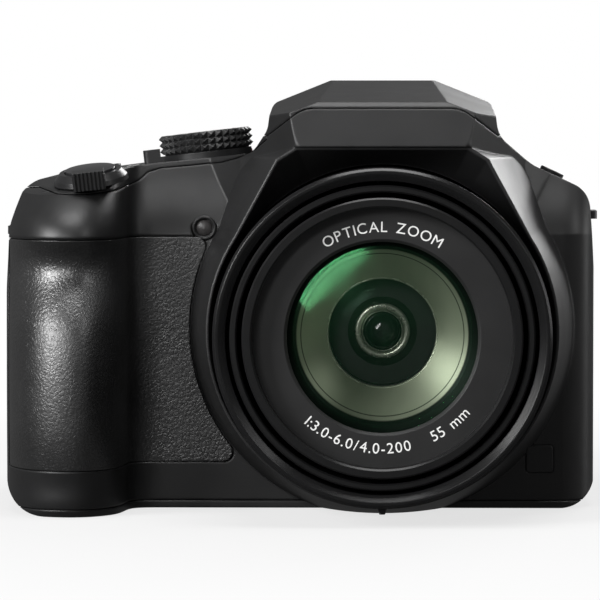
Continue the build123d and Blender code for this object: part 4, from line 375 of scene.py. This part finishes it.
# Which CAD nodes have each finish
DRESS = {
    SHELL: (
        "front_cover", "top_cover", "rear_cover", "bottom_cover", "flash_cap", "battery_door",
        "battery_latch", "badge_plate", "battery_case", "viewfinder_display",
    ),
    BUTTON: (
        "cursor_pad", "delete_button", "playback_button", "set_button", "viewfinder_button",
        "drive_button", "flash_button",
    ),
    CONTROL: ("mode_dial", "power_lever", "rear_dial", "diopter_dial", "zoom_lever"),
    SATIN_METAL: ("shutter_button",),
    RING: ("barrel_ring",),
    BARREL: ("fixed_barrel", "zoom_barrel_outer", "zoom_barrel_inner", "cam_ring"),
    NAME_RING: ("name_ring",),
    GRIP: ("grip_rubber",),
    THUMB: ("thumb_rest",),
    SOFT_RUBBER: ("eyecup", "terminal_door"),
    COATED: ("front_element",),
    INNER_GLASS: ("middle_lens", "focus_lens"),
    CLEAR: ("eyepiece_lens", "flash_tube"),
    DIFFUSER: ("flash_window",),
    DISH: ("lens_baffle",),
    CELL: ("middle_lens_cell",),
    STEEL: ("hot_shoe", "tripod_socket", "flash_hinge_pin", "terminal_sockets"),
    DARK_STEEL: ("case_screws", "strap_lugs"),
    ALLOY: ("chassis", "zoom_motor"),
    MIRROR: ("flash_reflector",),
    GOLD: ("hot_shoe_contacts",),
    BOARD: ("main_board",),
    WRAP: ("battery", "lcd_panel", "sensor_board"),
    CARD: ("memory_card",),
    GEAR: ("zoom_pinion",),
    LAMP: ("af_lamp",),
    RED: ("video_button",),
    SCREEN: ("lcd_window",),
}
for material, names in DRESS.items():
    for name in names:
        nodes[name].data.materials.clear()
        nodes[name].data.materials.append(material)


# Making pieces

# How many steps a full turn has, and a lens from its middle to its rim
LENS_STEPS, SMALL_STEPS, DOME_STEPS = 96, 64, 12
SAME_POINT = 0.001 * MM


def piece(name, form, body, material, smooth=True):
    """A finished bmesh as an object that rides on a body."""
    mesh = bpy.data.meshes.new(name)
    form.to_mesh(mesh)
    form.free()
    made = bpy.data.objects.new(name, mesh)
    bpy.context.scene.collection.objects.link(made)
    mesh.materials.append(material)
    for face in mesh.polygons:
        face.use_smooth = smooth
    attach(made, body)


def basis(across, up, out, place):
    """Turns flat work, with x across and y up, into its place."""
    grid = Matrix((across, up, out)).transposed().to_4x4()
    grid.translation = place
    return grid


def turn_about(form, edges, centre, steps):
    """Turns an outline once round a centre, about the front direction."""
    bmesh.ops.spin(
        form, geom=edges, cent=centre, axis=FRONT, dvec=(0, 0, 0), angle=FULL_TURN, steps=steps,
        use_merge=True,
    )


def hoop(form, centre, radius, wire, sides, steps):
    """A round wire ring about a centre, square to the front direction."""
    start = basis(RIGHT, FRONT, UP, centre + RIGHT * radius)
    made = bmesh.ops.create_circle(form, segments=sides, radius=wire, matrix=start)
    edges = list({edge for vertex in made["verts"] for edge in vertex.link_edges})
    turn_about(form, edges, centre, steps)


def lens_place(radius, along):
    """A point in metres beside the lens axis and this far along it."""
    return LENS_AXIS + Vector((radius, along, 0))


def glyph(form, text, size, thick, grid):
    """Raised letters with their middle at the grid's place. Returns their width."""
    curve = bpy.data.curves.new("glyph", "FONT")
    curve.body = text
    curve.size = size
    curve.extrude = thick / 2
    curve.resolution_u = 4
    holder = bpy.data.objects.new("glyph", curve)
    bpy.context.scene.collection.objects.link(holder)
    bpy.context.view_layer.update()
    flat = bpy.data.meshes.new_from_object(holder.evaluated_get(bpy.context.evaluated_depsgraph_get()))
    bpy.data.objects.remove(holder)
    bpy.data.curves.remove(curve)
    xs = [vertex.co.x for vertex in flat.vertices]
    middle = Vector(((min(xs) + max(xs)) / 2, size * LETTER_MIDDLE, 0))
    flat.transform(grid @ Matrix.Translation(-middle))
    form.from_mesh(flat)
    bpy.data.meshes.remove(flat)
    return max(xs) - min(xs)


def letter_width(letter):
    """How wide a letter of the name ring is."""
    if letter == " ":
        return LETTER_SIZE * SPACE
    trial = bmesh.new()
    width = glyph(trial, letter, LETTER_SIZE, RING_PRINT_THICK, Matrix())
    trial.free()
    return width


def ring_letters(form, text, middle, y, gap, below=False):
    """Letters on the name ring, about an angle clockwise from the top, this far apart."""
    widths = [letter_width(letter) for letter in text]
    at = -(sum(widths) + gap * (len(text) - 1)) / 2
    side = -1 if below else 1
    for letter, width in zip(text, widths):
        if letter != " ":
            angle = middle + side * (at + width / 2) / LETTER_RADIUS
            out = Vector((math.sin(angle), 0, math.cos(angle)))
            across = Vector((math.cos(angle), 0, -math.sin(angle)))
            grid = basis(across * side, out * side, FRONT, LENS_AXIS + out * LETTER_RADIUS + REARWARD * y)
            glyph(form, letter, LETTER_SIZE, RING_PRINT_THICK, grid)
        at += width + gap


def turned_piece(profile, seat_y):
    """A closed ring about the lens axis, from corners of radius and depth in millimetres."""
    form = bmesh.new()
    corners = [form.verts.new(lens_place(radius * MM, seat_y + depth * MM)) for radius, depth in profile]
    edges = [form.edges.new(pair) for pair in zip(corners, corners[1:] + corners[:1])]
    turn_about(form, edges, LENS_AXIS, LENS_STEPS)
    bmesh.ops.recalc_face_normals(form, faces=form.faces[:])
    return form


def domed_lens(radius, curve, edge, seat_y):
    """A small solid lens whose round front rises from its rim at this depth."""
    form = bmesh.new()
    rise = curve - math.sqrt(curve ** 2 - radius ** 2)
    reaches = [radius * step / DOME_STEPS for step in range(DOME_STEPS + 1)]
    points = [(reach, seat_y - rise + curve - math.sqrt(curve ** 2 - reach ** 2)) for reach in reaches]
    points += [(radius, seat_y + edge), (0, seat_y + edge)]
    corners = [form.verts.new(lens_place(reach, depth)) for reach, depth in points]
    edges = [form.edges.new(pair) for pair in zip(corners, corners[1:])]
    turn_about(form, edges, LENS_AXIS, SMALL_STEPS)
    bmesh.ops.remove_doubles(form, verts=form.verts[:], dist=SAME_POINT)
    bmesh.ops.recalc_face_normals(form, faces=form.faces[:])
    return form


def skin_at(node, start, toward):
    """Where a straight line first meets a CAD node, and its outward direction there."""
    form = bmesh.new()
    form.from_mesh(nodes[node].data)
    hit, out, _, _ = BVHTree.FromBMesh(form).ray_cast(Vector(start), Vector(toward))
    form.free()
    if out.dot(Vector(toward)) > 0:
        out = -out
    return hit, out


def seat(node, start, toward, up):
    """A flat working plane just clear of a CAD node's skin, with this direction as its up."""
    hit, out = skin_at(node, start, toward)
    upward = (Vector(up) - out * out.dot(Vector(up))).normalized()
    return basis(upward.cross(out), upward, out, hit + out * PRINT_LIFT)


def disc_mark(form, radius, grid, segments=32):
    """A flat printed dot, or a triangle with three segments."""
    bmesh.ops.create_circle(form, cap_ends=True, segments=segments, radius=radius, matrix=grid)


def middle_of(node):
    """The middle of a CAD node's box."""
    low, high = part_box(node)
    return (low + high) / 2


def outline_mark(form, points, size, grid):
    """A flat printed figure with these corners, in shares of its size."""
    corners = [form.verts.new(grid @ Vector((x * size, y * size, 0))) for x, y in points]
    form.faces.new(corners)


def printed(name, marks, body, ink):
    """Printed marks as one thin raised piece."""
    form = bmesh.new()
    for kind, value, size, grid in marks:
        if kind == "text":
            glyph(form, value, size, PRINT_THICK, grid)
        elif kind == "dot":
            disc_mark(form, size, grid)
        elif kind == "triangle":
            disc_mark(form, size, grid @ Matrix.Rotation(value, 4, "Z"), 3)
        else:
            outline_mark(form, value, size, grid)
    piece(name, form, body, ink, False)


# Pieces

# Corners of a lightning bolt and a short bar
BOLT = ((0.1, 1.0), (-0.45, -0.1), (-0.05, -0.1), (-0.25, -1.0), (0.45, 0.2), (0.02, 0.2), (0.4, 1.0))
BAR = ((-0.5, -0.08), (0.5, -0.08), (0.5, 0.08), (-0.5, 0.08))

# Name ring lettering
LETTER_SIZE, LETTER_RADIUS = 3.2 * MM, 23.4 * MM
letters_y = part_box("name_ring")[0].y - PRINT_LIFT
form = bmesh.new()
ring_letters(form, "OPTICAL ZOOM", 0.0, letters_y, LETTER_SIZE * 0.15)
ring_letters(form, "1:3.0-6.0/4.0-200   55 mm", math.pi - 0.06, letters_y, LETTER_SIZE * 0.13, below=True)
piece("name_ring_letters", form, "inner_barrel", WHITE_INK, False)

# Mode dial markings
DIAL_WORDS = ("P", "A", "S", "M", "C", "SCN", "AUTO", "1", "2")
DIAL_WORD_RADIUS, DIAL_LETTER, DIAL_WORD = 7.6 * MM, 2.1 * MM, 1.45 * MM
dial_top = max((vertex.co - DIAL_PLACE).dot(DIAL_OUT) for vertex in nodes["mode_dial"].data.vertices)
dial_face = DIAL_PLACE + DIAL_OUT * (dial_top + PRINT_LIFT)
marks = []
for step, word in enumerate(DIAL_WORDS):
    angle = math.pi / 2 + step * FULL_TURN / len(DIAL_WORDS)
    spoke = Matrix.Rotation(-angle, 3, DIAL_OUT) @ REARWARD
    grid = basis(spoke.cross(DIAL_OUT), spoke, DIAL_OUT, dial_face + spoke * DIAL_WORD_RADIUS)
    marks.append(("text", word, DIAL_LETTER if len(word) == 1 else DIAL_WORD, grid))
printed("mode_dial_marks", marks, "mode_dial", WHITE_INK)

# Printing and microphone dots on the top cover
marks = [
    (kind, value, size * MM, seat("top_cover", (x * MM, y * MM, ABOVE), DOWN, up))
    for kind, value, size, x, y, up in (
        ("text", "ON", 1.7, -56.5, 3.0, REARWARD),
        ("text", "OFF", 1.7, -56.0, -8.5, REARWARD),
        ("shape", BAR, 2.2, -39.2, 7.2, RIGHT),
        ("shape", BOLT, 1.3, 34.0, 17.0, REARWARD),
    )
]
printed("top_cover_marks", marks, "camera_body", WHITE_INK)
marks = [
    ("dot", 0, 0.45 * MM, seat("top_cover", (side * reach * MM, 4.0 * MM, ABOVE), DOWN, REARWARD))
    for side in (-1, 1) for reach in (14.8, 16.4, 18.0)
]
printed("microphone_holes", marks, "camera_body", SOFT_RUBBER)

# Printing on the buttons
PAD_X, PAD_Z, PAD_REACH = -44.5 * MM, 28.0 * MM, 6.9 * MM
grid = seat("set_button", (PAD_X, BEHIND, PAD_Z), FRONT, UP)
printed("set_button_mark", [("text", "SET", 1.7 * MM, grid)], "set_button", WHITE_INK)
marks = [
    (kind, value, size * MM, seat("cursor_pad", (PAD_X + x, BEHIND, PAD_Z + z), FRONT, UP))
    for kind, value, size, x, z in (
        ("text", "ISO", 1.5, 0, PAD_REACH),
        ("text", "AF", 1.5, PAD_REACH, 0),
        ("text", "WB", 1.5, -PAD_REACH, 0),
        ("triangle", math.pi, 0.8, 0, -PAD_REACH),
    )
]
printed("cursor_pad_marks", marks, "cursor_pad", WHITE_INK)
for node, kind, value, size in (
    ("playback_button", "triangle", -math.pi / 2, 0.9),
    ("delete_button", "text", "Fn", 1.9),
    ("viewfinder_button", "text", "VF", 1.9),
):
    place = middle_of(node)
    grid = seat(node, (place.x, BEHIND, place.z), FRONT, UP)
    printed(node + "_mark", [(kind, value, size * MM, grid)], node, WHITE_INK)
for node, kind, value, size in (("drive_button", "text", "Fn", 1.9), ("video_button", "dot", 0, 0.9)):
    place = middle_of(node)
    grid = seat(node, (place.x, place.y, ABOVE), DOWN, REARWARD)
    printed(node + "_mark", [(kind, value, size * MM, grid)], node, WHITE_INK)

# Focal lengths along the top of the outer zoom barrel, seen when it is run out
FOCAL_START, FOCAL_STEP = 9 * MM, 5.5 * MM
barrel_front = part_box("zoom_barrel_outer")[0].y
marks = []
for step, word in enumerate(("24", "50", "100", "200", "400")):
    along = barrel_front + FOCAL_START + FOCAL_STEP * step
    marks.append(("text", word, 2.2 * MM, seat("zoom_barrel_outer", (0, along, ABOVE), DOWN, REARWARD)))
printed("focal_length_marks", marks, "outer_barrel", WHITE_INK)

# Small stud under the barrel's end ring
STUD_TIP, STUD_FOOT, STUD_HEIGHT, STUD_DROP = 0.6 * MM, 1.4 * MM, 2.0 * MM, 0.5 * MM
under, _ = skin_at("barrel_ring", (0, middle_of("barrel_ring").y, BELOW), UP)
form = bmesh.new()
bmesh.ops.create_cone(
    form, cap_ends=True, segments=24, radius1=STUD_TIP, radius2=STUD_FOOT, depth=STUD_HEIGHT,
    matrix=Matrix.Translation(under + DOWN * STUD_DROP),
)
piece("ring_stud", form, "camera_body", RING, False)

# Printing on the doors
DOOR_WORD_RISE = 8 * MM
place = middle_of("terminal_door")
grid = seat("terminal_door", (BESIDE, place.y, place.z + DOOR_WORD_RISE), -RIGHT, UP)
printed("terminal_door_mark", [("text", "A/V OUT", 1.9 * MM, grid)], "terminal_door", WHITE_INK)
place = middle_of("battery_door")
grid = seat("battery_door", (place.x, place.y, BELOW), UP, REARWARD)
printed("battery_door_mark", [("triangle", math.pi, 1.4 * MM, grid)], "battery_door", WHITE_INK)

# Thin bright ring at the baffle's opening
LIP_RADIUS, RIM_RADIUS, RIM_WIRE, RIM_LIFT = 11.9 * MM, 11.85 * MM, 0.09 * MM, 0.02 * MM
lip, _ = skin_at("lens_baffle", lens_place(LIP_RADIUS, AHEAD), REARWARD)
form = bmesh.new()
hoop(form, lens_place(0, lip.y - RIM_LIFT), RIM_RADIUS, RIM_WIRE, 10, LENS_STEPS)
piece("baffle_rim", form, "inner_barrel", IRIS)

# Raised iris ring on the next lens's cell, the wire that edges it and the small steep lens inside, whose
# opaque near-black glass is painted shade for the dark inside of the lens
IRIS_PROFILE = (
    (6.0, 0.05), (6.0, -0.35), (5.75, -0.55), (5.2, -0.6), (4.75, -0.45), (4.5, -0.12), (4.5, 0.05),
)
IRIS_SEAT_RADIUS, INSIDE_BARREL = 5.1 * MM, -60 * MM
WIRE_RADIUS, WIRE = 4.3 * MM, 0.1 * MM
IRIS_LENS_RADIUS, IRIS_LENS_CURVE = 4.15 * MM, 6.0 * MM
IRIS_LENS_EDGE, IRIS_LENS_SINK = 1.2 * MM, 0.3 * MM
cell, _ = skin_at("middle_lens_cell", lens_place(IRIS_SEAT_RADIUS, INSIDE_BARREL), REARWARD)
piece("iris_ring", turned_piece(IRIS_PROFILE, cell.y), "middle_group", IRIS)
form = bmesh.new()
hoop(form, lens_place(0, cell.y - WIRE), WIRE_RADIUS, WIRE, 10, LENS_STEPS)
piece("iris_wire", form, "middle_group", IRIS)
form = domed_lens(IRIS_LENS_RADIUS, IRIS_LENS_CURVE, IRIS_LENS_EDGE, cell.y + IRIS_LENS_SINK)
piece("iris_lens", form, "middle_group", PUPIL_SHADE_GLASS)

# Collar round the focus lamp
COLLAR_RADIUS, COLLAR_WIRE, COLLAR_LIFT = 2.35 * MM, 0.4 * MM, 0.05 * MM
COLLAR_SEAT_DROP = 2.4 * MM
lamp = middle_of("af_lamp")
cover, _ = skin_at("front_cover", (lamp.x, AHEAD, lamp.z - COLLAR_SEAT_DROP), REARWARD)
form = bmesh.new()
hoop(form, Vector((lamp.x, cover.y - COLLAR_LIFT, lamp.z)), COLLAR_RADIUS, COLLAR_WIRE, 12, SMALL_STEPS)
piece("lamp_collar", form, "camera_body", SHELL)

# Skirt that closes the gap under the mode dial
SKIRT_RADIUS, SKIRT_LOW, SKIRT_HIGH = 9.5 * MM, 1.85 * MM, 2.25 * MM
form = bmesh.new()
bmesh.ops.create_cone(
    form, cap_ends=True, segments=72, radius1=SKIRT_RADIUS, radius2=SKIRT_RADIUS,
    depth=SKIRT_HIGH - SKIRT_LOW,
    matrix=basis(DIAL_RIGHT, REARWARD, DIAL_OUT, DIAL_PLACE + DIAL_OUT * (SKIRT_LOW + SKIRT_HIGH) / 2),
)
piece("dial_skirt", form, "mode_dial", SOFT_RUBBER, False)

# Floor, lights and camera

# How bright the white surroundings are in reflections and as light, where the camera sees 1
GLOSSY_LEVEL, WORLD_LEVEL = 0.12, 0.07

# The camera sees this share of plain white on the floor near the object, and all of it past the shadow
NEAR_WHITE, SHADOW_START, SHADOW_END = 0.72, 0.08, 0.30
FLOOR_HALF, FLOOR_DROP = 4.0, 0.02 * MM
FLOOR_COLOUR = (0.40, 0.40, 0.40, 1)

LAMPS_AIM = Vector((-0.018, 0.0, 0.045))
CAMERA_PLACE, CAMERA_AIM = Vector((0.0, -1.0, 0.092)), Vector((-0.01864, 0.0, 0.0447))


def rays(tree):
    """Whether a ray is the camera's or through glass, and whether it is a reflection."""
    path = put(tree, "ShaderNodeLightPath")
    seen = reckon(tree, "MAXIMUM", path.outputs["Is Camera Ray"], path.outputs["Is Transmission Ray"])
    return seen, path.outputs["Is Glossy Ray"]


def lit_white(tree, lit, share):
    """Mixes plain white into what the camera sees, by this share, and a fixed glow into reflections."""
    seen, glossy = rays(tree)
    glow = put(tree, "ShaderNodeEmission", Color=(1, 1, 1, 1))
    tree.links.new(remap(tree, glossy, 1.0, GLOSSY_LEVEL, 0.0, 1.0), glow.inputs["Strength"])
    mix = put(tree, "ShaderNodeMixShader")
    level = reckon(tree, "MULTIPLY", seen, share)
    tree.links.new(reckon(tree, "MAXIMUM", level, glossy), mix.inputs["Fac"])
    tree.links.new(lit, mix.inputs[1])
    tree.links.new(glow.outputs["Emission"], mix.inputs[2])
    return mix.outputs["Shader"]


def softbox(name, place, width, height, power, roll=0):
    """A rectangular lamp that faces the camera body, in metres, watts and degrees."""
    light = bpy.data.lights.new(name, "AREA")
    light.shape = "RECTANGLE"
    light.size = width
    light.size_y = height
    light.energy = power
    lamp = bpy.data.objects.new(name, light)
    bpy.context.scene.collection.objects.link(lamp)
    lamp.location = place
    turn = (LAMPS_AIM - Vector(place)).to_track_quat("-Z", "Y").to_matrix()
    lamp.rotation_euler = (turn @ Matrix.Rotation(math.radians(roll), 3, "Z")).to_euler()


# Floor
floor_form = bmesh.new()
bmesh.ops.create_grid(floor_form, x_segments=1, y_segments=1, size=FLOOR_HALF)
floor_mesh = bpy.data.meshes.new("floor")
floor_form.to_mesh(floor_mesh)
floor_form.free()
floor = bpy.data.objects.new("floor", floor_mesh)
bpy.context.scene.collection.objects.link(floor)
floor.location.z = -FLOOR_DROP
material, tree, shader, place = blank("pale_floor")
shader.inputs["Base Color"].default_value = FLOOR_COLOUR
shader.inputs["Roughness"].default_value = 0.7
shader.inputs["Specular IOR Level"].default_value = 0.1
reach = put_linked(tree, "ShaderNodeVectorMath", place, operation="LENGTH")
share = remap(tree, reach.outputs["Value"], NEAR_WHITE, 1.0, SHADOW_START, SHADOW_END)
surface = lit_white(tree, shader.outputs["BSDF"], share)
tree.links.new(surface, tree.nodes["Material Output"].inputs["Surface"])
floor.data.materials.append(material)

# World
world = bpy.data.worlds.new("studio")
bpy.context.scene.world = world
world.use_nodes = True
tree = world.node_tree
glow = tree.nodes["Background"]
glow.inputs["Color"].default_value = (1, 1, 1, 1)
seen, glossy = rays(tree)
both = reckon(tree, "MAXIMUM", seen, remap(tree, glossy, 0.0, GLOSSY_LEVEL, 0.0, 1.0))
tree.links.new(remap(tree, both, WORLD_LEVEL, 1.0, 0.0, 1.0), glow.inputs["Strength"])

# Lamps
softbox("key_softbox", (-0.70, -0.56, 0.38), 0.34, 0.44, 14.5)
softbox("front_softbox", (-0.27, -0.88, 0.32), 0.42, 0.15, 2.7, 45)
softbox("right_softbox", (0.62, -0.45, 0.50), 0.14, 0.30, 1.4)
softbox("top_softbox", (0.0, -0.15, 0.85), 0.5, 0.30, 6.0)
softbox("edge_softbox", (0.95, 0.10, 0.22), 0.25, 0.4, 2.0)
softbox("rear_softbox", (0.45, 0.85, 0.45), 0.5, 0.4, 6.5)

# Camera
lens = bpy.data.cameras.new("camera")
lens.lens = 265.5
lens.sensor_width = 36.0
lens.clip_start = 0.01
lens.clip_end = 20.0
camera = bpy.data.objects.new("camera", lens)
bpy.context.scene.collection.objects.link(camera)
camera.location = CAMERA_PLACE
camera.rotation_euler = (CAMERA_AIM - CAMERA_PLACE).to_track_quat("-Z", "Y").to_euler()
bpy.context.scene.camera = camera
bpy.context.scene.view_settings.view_transform = "Standard"
